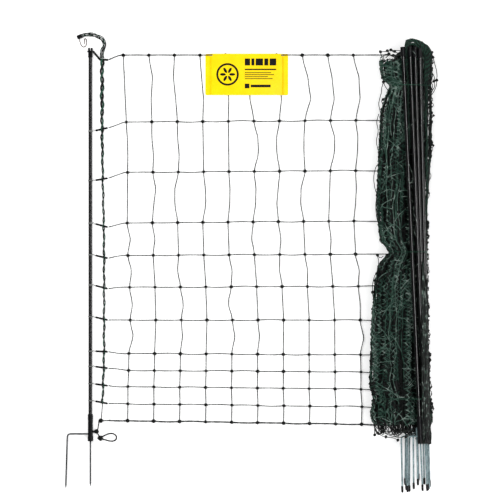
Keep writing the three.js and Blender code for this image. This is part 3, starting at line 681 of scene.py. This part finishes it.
def postPlace(rodNode, spikeNode):  # a post's own axes, read from its solids
    rod = triangles(rodNode)
    top = rod[:, :, 1].max()
    upper = track(rod, 1, top - 0.2, top - 0.2, 1)[0]
    lower = track(rod, 1, top - 0.9, top - 0.9, 1)[0]
    down = (lower - upper) / np.linalg.norm(lower - upper)
    spike = triangles(spikeNode).reshape(-1, 3) - upper
    tip = (spike @ down).max()
    head = upper + down * (tip - (post["outerProng"][-1][1] * -mm))
    away = spike - np.outer(spike @ down, down)
    outward = away[np.linalg.norm(away, axis=1).argmax()]
    outward = outward / np.linalg.norm(outward)
    up = np.cross(outward, down)
    place = Matrix.Identity(4)
    for row in range(3):
        place[row][0] = -outward[row]
        place[row][1] = -down[row]
        place[row][2] = up[row]
        place[row][3] = head[row]
    return place


lug = {"reach": 15.0, "size": 7.0, "y": -1158.0, "rounding": 1.4 * mm}


def firstPost(patterns):
    place = postPlace("first_post_rod", "first_post_spike")
    parts = [("rod", "glassFibre", "glass_fibre"), ("head", "blackPlastic", "black_plastic"),
             ("sleeve", "blackPlastic", "black_plastic"), ("spike", "darkSteel", "galvanised")]
    for part, finish, slot in parts:
        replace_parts(placed(f"post_1_{part}", patterns[part], place, finish), f"first_post_{part}")
    deselect()
    bpy.ops.mesh.primitive_cube_add(size=1, location=((lug["reach"] - 5) * mm, lug["y"] * mm, 0))
    ear = bpy.context.active_object
    bpy.ops.transform.resize(value=(10 * mm, lug["size"] * mm, lug["size"] * mm))
    bpy.ops.object.transform_apply()
    applyModifier(ear, "BEVEL", width=lug["rounding"], segments=3)
    bpy.ops.object.shade_smooth_by_angle(angle=math.radians(40))
    placed("post_1_lug", meshOf(ear), place, "blackPlastic")


def bundledPosts(patterns):
    capMesh = meshOf(turnedPiece("capPattern", millimetres(post["cap"]), 12))
    for number in range(2, 10):
        node = f"post_{number}"
        place = postPlace(node, f"{node}_spike")
        rod = placed(f"{node}_rod", patterns["rod"], place, "glassFibre")
        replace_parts(rod, node)
        placed(f"{node}_head", patterns["head"], place, "blackPlastic")
        placed(f"{node}_sleeve", patterns["sleeve"], place, "blackPlastic")
        spike = placed(f"{node}_prongs", patterns["spike"], place, "galvanised")
        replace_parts(spike, f"{node}_spike")
        for side, (x, y, z) in (("a", post["mainProng"][-1]), ("b", post["outerProng"][-1])):
            if number == 2 and side == "a":
                continue  # one tip has lost its cap
            tip = place @ Matrix.Translation((x * mm, y * mm, z * mm))
            placed(f"{node}_cap_{side}", capMesh, tip, "blackPlastic")


patterns = postPatterns()
firstPost(patterns)
bundledPosts(patterns)
print("posts")


# Warning plate and its plain printed pattern
plate = {"width": 0.250, "height": 0.125, "thickness": 1.2 * mm, "corner": 4 * mm, "tab": 13 * mm,
         "slope": 8 * mm, "slot": (10 * mm, 4.4 * mm, 60 * mm)}


def warningPlate():
    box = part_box("warning_plate")
    low, high = Vector(box[0]), Vector(box[1])
    centre = (low + high) / 2
    deselect()
    bpy.ops.mesh.primitive_plane_add(size=1, location=(centre.x, centre.y, 0))
    piece = bpy.context.active_object
    piece.name = "plate_sheet"
    bpy.ops.transform.resize(value=(plate["width"], plate["height"], 1))
    bpy.ops.object.transform_apply()
    bpy.ops.object.mode_set(mode="EDIT")
    bpy.ops.mesh.select_all(action="SELECT")
    bpy.ops.mesh.bevel(offset=plate["corner"], segments=5, affect="VERTICES")
    for share in np.linspace(0, 1, 7):
        inset = plate["tab"] + plate["slope"] * share
        for x in (low.x + inset, high.x - inset):
            bpy.ops.mesh.select_all(action="SELECT")
            bpy.ops.mesh.bisect(plane_co=(x, 0, 0), plane_no=(1, 0, 0))
    bpy.ops.object.mode_set(mode="OBJECT")
    drop = high.z - low.z - plate["thickness"]
    for vertex in piece.data.vertices:
        fromEnd = min(vertex.co.x - low.x, high.x - vertex.co.x)
        share = min(max((fromEnd - plate["tab"]) / plate["slope"], 0), 1)
        vertex.co.z = low.z + drop * (share * share * (3 - 2 * share))
    applyModifier(piece, "SOLIDIFY", thickness=plate["thickness"], offset=1)
    for x in (low.x + plate["tab"] + plate["slope"] / 2, high.x - plate["tab"] - plate["slope"] / 2):
        cutBox(piece, plate["slot"], (x, topLineY, netZ))
    activate(piece)
    bpy.ops.object.shade_smooth_by_angle(angle=math.radians(30))
    piece.data.materials.append(finishes["yellowPlastic"])
    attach(piece, "plate")
    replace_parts(piece, "warning_plate")
    return centre, high.z


prints = {  # bars: left, bottom, width, height from the plate's middle, in millimetres
    "bars": [[-6, 27, 16, 21], [14, 27, 9, 21], [27, 27, 22, 21], [53, 27, 12, 21], [69, 27, 20, 21],
             [-6, 13, 95, 4], [-6, 4, 80, 2.2], [-6, -2, 88, 2.2], [-6, -8, 70, 2.2], [-6, -14, 84, 2.2],
             [-6, -42, 14, 14], [12, -39, 60, 8]],
    "ringOuter": 34, "ringInner": 28, "ringX": -58, "ringY": 0, "petals": 6,
    "petalReach": 14 * mm, "petal": (9 * mm, 4 * mm), "thickness": 0.12 * mm, "sunk": 0.02 * mm,
}


def disc(sides, radius, depth, place):
    bpy.ops.mesh.primitive_cylinder_add(vertices=sides, radius=radius, depth=depth, location=place)
    return bpy.context.active_object


def platePrint(centre, top):
    deselect()
    made = []
    level = top + prints["thickness"] / 2 - prints["sunk"]
    for left, bottom, width, height in prints["bars"]:
        x = centre.x + (left + width / 2) * mm
        y = centre.y + (bottom + height / 2) * mm
        bpy.ops.mesh.primitive_cube_add(size=1, location=(x, y, level))
        bar = bpy.context.active_object
        bpy.ops.transform.resize(value=(width * mm, height * mm, prints["thickness"]))
        made.append(bar)
    ringX = centre.x + prints["ringX"] * mm
    ringY = centre.y + prints["ringY"] * mm
    ring = disc(64, prints["ringOuter"] * mm, prints["thickness"], (ringX, ringY, level))
    hole = disc(64, prints["ringInner"] * mm, 1, (ringX, ringY, level))
    applyModifier(ring, "BOOLEAN", operation="DIFFERENCE", object=hole)
    bpy.data.objects.remove(hole)
    made.append(ring)
    for number in range(prints["petals"]):
        turn = 2 * math.pi * number / prints["petals"]
        x = ringX + prints["petalReach"] * math.cos(turn)
        y = ringY + prints["petalReach"] * math.sin(turn)
        petal = disc(24, 1, prints["thickness"], (x, y, level))
        petal.scale = (*prints["petal"], 1)
        petal.rotation_euler = (0, 0, turn)
        made.append(petal)
    deselect()
    for each in made:
        each.select_set(True)
    bpy.context.view_layer.objects.active = made[0]
    bpy.ops.object.join()
    piece = bpy.context.active_object
    bpy.ops.object.transform_apply()
    piece.name = "plate_print"
    piece.data.materials.clear()
    piece.data.materials.append(finishes["printBlack"])
    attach(piece, "plate")


platePrint(*warningPlate())
print("plate")


# Loose tail of the edge cord, with its cap and clip, and the tie loop
tail = {
    "points": [[35, -9.8, 6], [34.5, -4, 6], [34.5, 4, 6], [36, 11, 6], [38, 19, 6], [42, 26, 6],
               [43, 34, 6], [40, 42, 6], [34, 49, 6], [26, 54, 6], [17, 58, 6], [8, 61, 6],
               [-1, 62.5, 6], [-10, 62.5, 6], [-18, 61, 6], [-26, 58, 6]],
    "diameter": 11 * mm, "reach": 5.6 * mm, "ply": 2.3 * mm, "plies": 6, "pitch": 150 * mm,
    "cap": [(5.6, 0), (6.7, 0.8), (6.7, 3.5), (6.2, 4.2), (6.6, 5), (6.6, 11.5), (5.2, 14.2), (3.4, 15)],
    "clip": [[-33, 47.8, 6.6], [-32.5, 43, 5.5], [-31, 38, 3], [-28, 30, 1.6], [-23, 25, 1.4],
             [-17, 26, 1.4], [-13, 32, 1.4], [-12.5, 46, 1.4], [-15, 50, 1.4], [-18.5, 47, 1.4],
             [-19, 34, 1.4]],
    "wire": 2.6 * mm,
}


def tailCord():
    path = curved(fromPost(tail["points"]), 2 * mm)
    strands = plies(path, tail["reach"], tail["plies"], tail["pitch"], 2 * mm)
    for number, strand in enumerate(strands):
        wobble = np.sin(np.linspace(0, 7 + number, len(strand)) + 2.1 * number)
        strand += (path[: len(strand)] - strand) * (0.16 + 0.3 * wobble)[:, None]
        strand[:, 2] = np.maximum(strand[:, 2], tail["ply"] / 2)
    cord = strandPiece("tail_strands", strands, tail["ply"], ["blackTwine", "greenTwine", "blackTwine"],
                       sides=1)
    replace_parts(cord, "tail_cord")
    mesh = meshOf(turnedPiece("capPattern", millimetres(tail["cap"]), 20))
    along = Vector(path[-1] - path[-3]).normalized()
    place = Matrix.Translation(Vector(path[-1]) + along * 0.3 * mm + Vector((0, 0, 1.1 * mm)))
    place = place @ Vector((0, 1, 0)).rotation_difference(along).to_matrix().to_4x4()
    cap = placed("tail_cap", mesh, place, "blackPlastic")
    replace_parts(cap, "tail_end_cap")
    wire = curved(fromPost(tail["clip"]), 1 * mm)
    clip = strandPiece("tail_wire_clip", [wire], tail["wire"], "clipSteel", sides=3)
    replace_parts(clip, "tail_clip")


loop = {
    "points": [[32.3, -1158, 2.5], [38, -1160.5, 2.3], [45, -1162, 2.3], [53, -1164.3, 2.3],
               [61, -1165.8, 2.3], [69, -1165.4, 2.3], [75.5, -1162, 2.3], [78.5, -1156, 2.3],
               [77, -1149.5, 2.3], [71.5, -1144.8, 2.3], [64, -1142.6, 2.3], [56, -1143.4, 2.3],
               [48, -1146.2, 2.3], [40.5, -1149.8, 2.3], [32.4, -1154.1, 2.5]],
    "diameter": 4 * mm,
    "lead": [[19.5, -1140.9, 4], [24, -1147, 3.6], [28, -1154, 3.6]],
    "knots": [[29, -1156, 3.8], [31, -1157, 4.6]], "knotSize": 1.45,
}


def tieLoop():
    path = curved(fromPost(loop["points"]), 2 * mm)
    cord = strandPiece("tie_loop", [path], loop["diameter"], "blackTwine", sides=2)
    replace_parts(cord, "tie_loop_cord")
    knots = [(place, 0.3 + i, loop["knotSize"]) for i, place in enumerate(fromPost(loop["knots"]))]
    lump = scattered("tie_loop_lump", smallKnot, knots, "blackTwine")
    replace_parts(lump, "tie_loop_knot")
    lead = strandPiece("tie_loop_lead", [curved(fromPost(loop["lead"]), 2 * mm)], cornerTie["thickness"],
                       "blackTwine", sides=1)


tailCord()
tieLoop()
print("cords")


# Gathered net
bundle = {"roundness": 2.6, "shoulder": 0.24, "shoulderFrom": -0.7, "shoulderTo": 0.1, "levels": 70,
          "lowest": 1.8 * mm}
coreShape = triangles("gathered_net")
coreTop = coreShape[:, :, 1].max()
coreBottom = coreShape[:, :, 1].min()
coreLevels = np.linspace(coreBottom + 0.4 * mm, coreTop - 0.4 * mm, bundle["levels"])
coreEdges = []
for level in coreLevels:
    points = crossing(coreShape, 1, level)
    coreEdges.append([points[:, 0].min(), points[:, 0].max(), points[:, 2].min(), points[:, 2].max()])
coreEdges = np.array(coreEdges)


def signedPower(value):
    return np.sign(value) * np.abs(value) ** (2 / bundle["roundness"])


def skin(angle, y, out):  # point on the bundle's outside, at an angle round it and a height along it
    left, right, low, high = (np.interp(y, coreLevels, coreEdges[:, i]) for i in range(4))
    across = signedPower(np.cos(angle))
    up = signedPower(np.sin(angle))
    span = np.clip((across - bundle["shoulderFrom"]) / (bundle["shoulderTo"] - bundle["shoulderFrom"]), 0, 1)
    front = np.where(up > 0, span * span * (3 - 2 * span), 0)
    x = (left + right) / 2 + (right - left) / 2 * across + out * np.cos(angle)
    z = low + (high - low) / 2 * (1 + up) * (1 - bundle["shoulder"] * front) + out * np.sin(angle)
    return np.column_stack([x, np.broadcast_to(y, x.shape), np.maximum(z, bundle["lowest"])])


ringAngles = np.linspace(0, 2 * math.pi, 361)
ringSteps = np.linalg.norm(np.diff(skin(ringAngles, np.full(361, -0.1), 0.0), axis=0), axis=1)
ringShare = np.concatenate([[0], np.cumsum(ringSteps)]) / ringSteps.sum()


def angleAt(share):  # angle at a share of the way round, so that strands lie evenly
    share = np.asarray(share)
    return np.interp(share % 1, ringShare, ringAngles) + 2 * math.pi * np.floor(share)


def heightOn(x, y):  # top of the bundle at a place seen from above
    section = skin(angleAt(np.linspace(0.02, 0.48, 50)), np.full(50, y), 0.0)
    return np.interp(x, section[::-1, 0], section[::-1, 2])


shoulder = {"x": firstPostX + 929 * mm, "blend": 48 * mm, "top": topLineY - 13 * mm}


def massTop(x):  # the dense mass ends lower on the left of the posts
    share = np.clip((x - shoulder["x"]) / shoulder["blend"], 0, 1)
    return shoulder["top"] + (coreTop - shoulder["top"]) * share


def topAt(share):
    return massTop(skin(angleAt(np.array([share])), np.array([shoulder["top"]]), 0.0)[0][0])


bulk = {"around": 110, "along": 190, "sink": -8 * mm, "folds": 17, "foldDepth": 5 * mm, "rounding": 20 * mm}


def bundleBulk():
    deselect()
    bpy.ops.mesh.primitive_uv_sphere_add(segments=bulk["around"], ring_count=bulk["along"], radius=1)
    piece = bpy.context.active_object
    piece.name = "bundle_bulk"
    corners = np.array([vertex.co for vertex in piece.data.vertices])
    latitude = np.arcsin(np.clip(corners[:, 2], -1, 1)) / math.pi + 0.5
    y = coreBottom + 3 * mm + (coreTop - coreBottom - 6 * mm) * latitude
    share = np.arctan2(corners[:, 1], corners[:, 0]) / (2 * math.pi)
    angle = angleAt(share)
    end = massTop(skin(angle, y, 0.0)[:, 0])
    y = np.minimum(y, end - 3 * mm)
    fromEnd = np.minimum(y - coreBottom, end - y)
    fullness = np.sqrt(1 - (1 - np.clip(fromEnd / bulk["rounding"], 0, 1)) ** 2)
    spots = np.column_stack([y * 7, np.cos(angle) * 2, np.sin(angle) * 2])
    wander = np.array([noise.noise(spot.tolist()) for spot in spots])
    folds = np.abs(np.sin(share * math.pi * bulk["folds"] + wander * 2.5))
    points = skin(angle, y, bulk["sink"] - bulk["foldDepth"] * (1 - folds) + 2 * mm * wander)
    left, right, low, high = (np.interp(y, coreLevels, coreEdges[:, i]) for i in range(4))
    centre = np.column_stack([(left + right) / 2, y, (low + high) * 0.42])
    points = centre + (points - centre) * np.maximum(fullness, 0.02)[:, None]
    piece.data.vertices.foreach_set("co", points.ravel())
    piece.data.update()
    cleaned(piece, 0.2 * mm)
    bpy.ops.object.shade_smooth()
    # The core under the strands is nearly black: painted shade for the inside of the gathered net
    piece.data.materials.append(finishes["foldDark"])
    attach(piece, "net")
    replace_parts(piece, "gathered_net")


fold = {"thickness": 2.6 * mm, "thin": 2.3 * mm, "step": 9 * mm, "end": 5 * mm}


def wave(y, size, rough):  # smooth wander along a strand
    start = chance.uniform(0, 6.3, 3)
    rate = chance.uniform(0.5, 1.5, 3) * rough
    return size * (np.sin(y * rate[0] + start[0]) + 0.6 * np.sin(y * rate[1] * 2.3 + start[1])
                   + 0.35 * np.sin(y * rate[2] * 5.1 + start[2])) / 1.5


def tucked(out):  # both ends of a strand go under its neighbours
    out[[0, -1]] -= fold["end"]
    return out


def lengthwise(shares, reach):  # the net's own verticals, drawn together
    paths = []
    for share in shares:
        top = topAt(share) - 4 * mm
        start = chance.uniform(coreBottom - 0.4, top - 0.1)
        end = min(start + chance.uniform(0.4, 0.9), top)
        start = max(start, coreBottom + 2 * mm)
        y = np.linspace(start, max(end, start + 0.1), max(int((end - start) / fold["step"]), 12))
        around = share + wave(y, 0.011, 28)
        paths.append(skin(angleAt(around), y, tucked(reach + wave(y, 1.6 * mm, 22))))
    return paths


zigzag = {"pitch": 13 * mm, "swing": 0.014, "shortest": 0.05, "longest": 0.2}


def zigzags(count, lowShare, highShare, reach):  # lines folded to and fro between two verticals
    paths = []
    for share in chance.uniform(lowShare, highShare, count):
        top = topAt(share) - 3 * mm
        start = chance.uniform(coreBottom - 0.1, top - zigzag["shortest"])
        end = min(start + chance.uniform(zigzag["shortest"], zigzag["longest"]), top)
        start = max(start, coreBottom + 3 * mm)
        end = max(end, start + zigzag["shortest"])
        turns = max(int((end - start) / (zigzag["pitch"] * chance.uniform(0.75, 1.35))), 2)
        y = np.linspace(start, end, turns * 4)
        phase = np.arange(turns * 4) * math.pi / 2
        swing = zigzag["swing"] * chance.uniform(0.6, 1.3)
        around = share + wave(y, 0.008, 30) + swing * np.sin(phase) + chance.normal(0, 0.0016, len(y))
        out = reach + 1.5 * mm * np.cos(phase) + wave(y, 1.2 * mm, 25)
        paths.append(skin(angleAt(around), y + 2.5 * mm * np.cos(phase), tucked(out)))
    return paths


def crosswise(count, lowShare, highShare, lowest, reach, lean=0.03):  # lines that lie across the bundle
    paths = []
    for share in chance.uniform(lowShare, highShare, count):
        y0 = max(chance.uniform(lowest - 0.04, topAt(share) - 6 * mm), lowest + chance.uniform(0, 0.02))
        t = np.linspace(0, 1, 9)
        around = share + chance.uniform(0.05, 0.15) * (t - 0.5)
        y = y0 + chance.normal(0, lean) * (t - 0.5) + wave(t, 3 * mm, 3.5) + 5 * mm * np.sin(math.pi * t)
        paths.append(skin(angleAt(around), y, tucked(reach + wave(t, 1.3 * mm, 4))))
    return paths


def bundleStrands():
    around = chance.permutation(np.linspace(-0.06, 0.58, 150))
    low = coreBottom + 6 * mm
    lobe = shoulder["top"] - 95 * mm
    # Three tones of the same green twine: a nearly black one as painted shade, the green itself, and a pale
    # one as painted highlight, laid outermost
    groups = {
        "foldDark": lengthwise(around[:35], 0.0) + zigzags(75, -0.06, 0.56, 1.2 * mm)
        + crosswise(60, -0.06, 0.5, low, 1.6 * mm),
        "foldGreen": lengthwise(around[35:70], 0.2 * mm) + zigzags(135, 0.02, 0.58, 0.6 * mm)
        + crosswise(60, 0.1, 0.56, low, 1.4 * mm) + crosswise(48, 0.27, 0.56, lobe, 2.0 * mm, 0.012),
        "foldPale": lengthwise(around[70:90], 1.6 * mm) + zigzags(64, 0.12, 0.54, 2.0 * mm)
        + crosswise(110, 0.1, 0.54, low, 2.4 * mm) + crosswise(34, 0.3, 0.54, lobe, 2.8 * mm, 0.012),
    }
    for finish, paths in groups.items():
        thickness = fold["thin" if finish == "foldPale" else "thickness"]
        strandPiece(f"strands_{finish}", paths, thickness, finish)


def underStrands():  # the side on the floor
    shares = chance.uniform(0.56, 0.94, 60)
    paths = lengthwise(shares, 0.4 * mm)
    strandPiece("strands_under", paths, fold["thickness"], "foldGreen")


edgeLoop = {"left": 70, "right": 120, "chord": (9 * mm, 30 * mm), "reach": (1.5 * mm, 9 * mm)}


def edgeLoops():  # loops of twine that stand out from both sides
    paths = []
    places = []
    for side, share, count in ((1, 0.0, edgeLoop["right"]), (-1, 0.5, edgeLoop["left"])):
        for _ in range(count):
            around = share + chance.uniform(-0.03, 0.06) * side
            chord = chance.uniform(*edgeLoop["chord"])
            reach = chance.uniform(*edgeLoop["reach"]) * (1 if side > 0 else 0.6)
            start = chance.uniform(coreBottom + 20 * mm, topAt(share) - chord - 12 * mm)
            t = np.linspace(0, 1, 8)
            y = start + chord * t + wave(t, 1.5 * mm, 4)
            out = -3 * mm + (reach + 3 * mm) * np.sin(math.pi * t) ** 0.7
            path = skin(angleAt(around + wave(t, 0.006, 5)), y, out)
            paths.append(path)
            if chance.random() < 0.6:
                spot = path[chance.integers(2, 6)]
                places.append((spot, chance.uniform(0, 3), chance.uniform(0.45, 0.75)))
    strandPiece("edge_loops", paths, fold["thin"], "blackTwine")
    return places


def bundleKnots(places):
    for _ in range(300):
        y = chance.uniform(coreBottom + 4 * mm, shoulder["top"] - 8 * mm)
        share = chance.uniform(-0.05, 0.55)
        if chance.random() < 0.35:
            share = chance.uniform(0.44, 0.52)
        place = skin(angleAt(np.array([share])), np.array([y]), np.array([1.8 * mm]))[0]
        places.append((place, chance.uniform(0, 3), chance.uniform(0.45, 0.75)))
    scattered("bundle_knots", smallKnot, places, "blackTwine")


# Strands laid one by one on the bundle: across and up from the first post and the top line
laid = {
    "dome": [
        [[945, -20], [946, 8], [948, 28], [954, 39], [963, 42], [974, 41], [988, 37], [1000, 30]],
        [[951, 12], [952, 30], [959, 38], [970, 38], [984, 32], [996, 22], [1004, 8]],
        [[949, -14], [949, 13], [958, 30], [972, 38], [987, 37], [1002, 29], [1014, 18], [1022, 1],
         [1023, -26]],
        [[952, -44], [954, -2], [958, 18], [969, 28], [984, 29], [999, 22], [1011, 8], [1017, -14],
         [1017, -63]],
        [[965, -32], [966, 2], [975, 18], [987, 19], [999, 8], [1006, -14], [1007, -75]],
        [[953, 24], [966, 27], [976, 24], [981, 8], [980, -20]],
        [[993, 33], [1005, 19], [1011, -2], [1013, -38], [1012, -87]],
    ],
    "ropes": [
        [[950, 10], [949, -32], [953, -69], [956, -111], [955, -147], [956, -189], [958, -232], [960, -286]],
        [[972, -8], [975, -32], [981, -60], [979, -87], [976, -120], [974, -165]],
        [[1007, 1], [1009, -32], [1007, -75], [1011, -111], [1010, -153], [1008, -202], [1012, -256],
         [1010, -316], [1013, -392], [1010, -483]],
    ],
    "loose": [
        [[1021, 16], [1027, 5], [1032, -9], [1037, -28], [1042, -47], [1044, -63], [1043, -78], [1042, -94],
         [1034, -113], [1021, -132]],
        [[1024, -47], [1031, -58], [1036, -69], [1035, -81], [1037, -96], [1029, -111], [1021, -123]],
        [[1023, -86], [1035, -81], [1043, -78]],
        [[873, 6], [878, -16], [882, -29]],
        [[873, 6], [894, 7], [913, 8], [932, 7]],
        [[882, -28], [882, -11], [886, -3], [898, -4]],
        [[887, -14], [899, -6], [916, -8], [932, -4]],
        [[895, 10], [897, -1], [906, -10], [923, -14]],
        [[904, 11], [910, 3], [922, 1], [934, -8]],
        [[879, -38], [877, -57], [882, -85]],
        [[882, -85], [888, -99], [898, -112]],
        [[882, -85], [877, -102], [876, -115], [871, -134], [868, -151], [871, -168], [875, -186]],
        [[872, -325], [859, -341], [853, -371], [856, -401], [863, -424]],
        [[863, -424], [859, -452], [861, -486], [867, -510]],
        [[860, -655], [851, -682], [849, -715], [854, -743]],
        [[864, -604], [872, -612], [882, -607]], [[864, -604], [867, -624], [864, -655]],
        [[868, -180], [862, -205], [866, -232], [861, -262], [866, -290]],
        [[876, -140], [882, -165], [871, -190], [880, -215], [868, -245]],
    ],
    "over": [
        [[947, -229], [963, -216], [976, -200]], [[988, -217], [996, -212], [1003, -208]],
        [[956, -332], [964, -353], [969, -377], [959, -389], [953, -371]],
        [[969, -477], [979, -504], [973, -534], [981, -552]], [[963, -625], [975, -637], [985, -628]],
        [[966, -794], [978, -812], [985, -830]], [[993, -129], [1000, -153], [1008, -171]],
        [[960, 11], [969, 4], [977, -5]],
    ],
    "bottom": [
        [[858, -1111], [855, -1129], [856, -1143]],
        [[858, -1122], [866, -1138], [884, -1147], [905, -1149], [924, -1156]],
        [[872, -1128], [887, -1137], [908, -1145], [929, -1149], [950, -1146], [969, -1140], [981, -1136]],
        [[905, -1137], [923, -1147], [935, -1134], [953, -1129], [972, -1128]],
        [[944, -1152], [959, -1144], [975, -1138], [982, -1152]],
        [[863, -1119], [881, -1129], [902, -1131], [923, -1135], [947, -1134]],
        [[982, -1152], [991, -1141], [999, -1157], [1008, -1141]],
    ],
    "knots": [[864, -604], [1032, -9], [1043, -78], [1035, -81], [873, 6], [894, 9], [904, 11], [914, 5],
              [897, -2], [910, -7], [882, -85], [881, -137], [1021, -132], [863, -424], [849, -715],
              [856, -1143], [866, -1138], [888, -1147], [924, -1157], [949, -1148], [982, -1153],
              [999, -1165], [1014, -1153]],
    "lift": 2.5 * mm, "ropeLift": 7 * mm, "overHeight": 97.5 * mm, "thickness": 2.4 * mm,
    "ropeReach": 2.6 * mm, "ropePly": 2.6 * mm, "ropePitch": 26 * mm,
    "overThickness": 1.5 * mm, "knotSize": 0.9,
}


def laidOn(points, lift):
    path = curved(fromPost([[x, y, 0] for x, y in points]), 3 * mm)
    path[:, 2] = [max(heightOn(x, y) + lift, bundle["lowest"]) for x, y, _ in path]
    return path


cover = {"count": 17, "from": 996, "to": 1013, "spread": 11, "top": -620, "bottom": -1166,
         "across": [998, 1009, 1027], "height": [99, 96, 58], "thickness": 3.6 * mm,
         "finishes": ["blackTwine", "foldPale", "blackTwine", "foldGreen"]}
fringe = {"count": 60, "from": 858, "to": 984, "top": -1096, "deep": (-1143, -1126), "wide": (8, 34)}


def coverStrands():  # twine that hides the lower end of the posts on the right
    paths = []
    for x in np.linspace(cover["from"], cover["to"], cover["count"]):
        y = np.linspace(cover["top"] - chance.uniform(0, 160), cover["bottom"] + chance.uniform(0, 26), 44)
        across = x + wave(y, 2.2, 0.05) + cover["spread"] * np.linspace(0, (x - 990) / 24, 44) ** 2
        height = np.interp(across, cover["across"], cover["height"]) + wave(y, 1.2, 0.06)
        paths.append(fromPost(np.column_stack([across, y, height])))
    # The pale tone among these strands is painted highlight
    strandPiece("cover_strands", paths, cover["thickness"], cover["finishes"])


def bottomFringe():  # loops of line that hang out at the lower end
    paths = []
    for x in chance.uniform(fringe["from"], fringe["to"], fringe["count"]):
        wide = chance.uniform(*fringe["wide"])
        deep = chance.uniform(*fringe["deep"])
        points = [[x - wide / 2, fringe["top"]], [x - wide / 3, (fringe["top"] + deep) / 2], [x, deep],
                  [x + wide / 2, deep + 3], [x + wide / 1.6, fringe["top"]]]
        paths.append(laidOn(points, -chance.uniform(0, 40) * mm))
    strandPiece("bottom_fringe", paths, fold["thickness"], "blackTwine")


def laidStrands():
    ropes = [laidOn(points, laid["ropeLift"]) for points in laid["dome"] + laid["ropes"]]
    strands = []
    for rope in ropes:
        strands += plies(rope, laid["ropeReach"], 4, laid["ropePitch"], 3 * mm, chance.uniform(0, 6))
    strandPiece("bundle_ropes", strands, laid["ropePly"], ["greenTwine", "blackTwine"],
                sides=1)
    loose = [laidOn(points, laid["lift"]) for points in laid["loose"] + laid["bottom"]]
    strandPiece("bundle_loose", loose, laid["thickness"], "topTwine", sides=1)
    over = [laidOn(points, 0) for points in laid["over"]]
    for path in over:
        path[:, 2] = laid["overHeight"]
    # These short strands over the rods take the pale tone: painted highlight
    strandPiece("bundle_over", over, laid["overThickness"], "foldPale")
    places = []
    for x, y, _ in fromPost([[x, y, 0] for x, y in laid["knots"]]):
        places.append(((x, y, heightOn(x, y) + laid["lift"]), chance.uniform(0, 3), laid["knotSize"]))
    return places


bundleBulk()
bundleStrands()
coverStrands()
bottomFringe()
underStrands()
bundleKnots(laidStrands() + edgeLoops())
print("gathered net")


bundleTie = {"reach": 0.7 * mm, "pitch": 12 * mm, "string": 1.7 * mm}


def bundleTies():
    for number in (1, 2, 3):
        node = f"bundle_tie_{number}"
        shape = triangles(node)
        corners = np.unique(shape.reshape(-1, 3).round(6), axis=0)
        middle = corners.mean(axis=0)
        angle = np.arctan2(corners[:, 2] - middle[2], corners[:, 0] - middle[0])
        ring = corners[np.argsort(angle)]
        groups = ring.reshape(-1, 4, 3).mean(axis=1) if len(ring) % 4 == 0 else ring[::4]
        path = evenly(np.vstack([groups, groups[:1]]), 4 * mm)
        strands = plies(path, bundleTie["reach"], 2, bundleTie["pitch"], 3 * mm)
        piece = strandPiece(f"{node}_string", strands, bundleTie["string"], "greenTwine",
                            sides=1)
        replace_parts(piece, node)


bundleTies()
print("bundle ties")
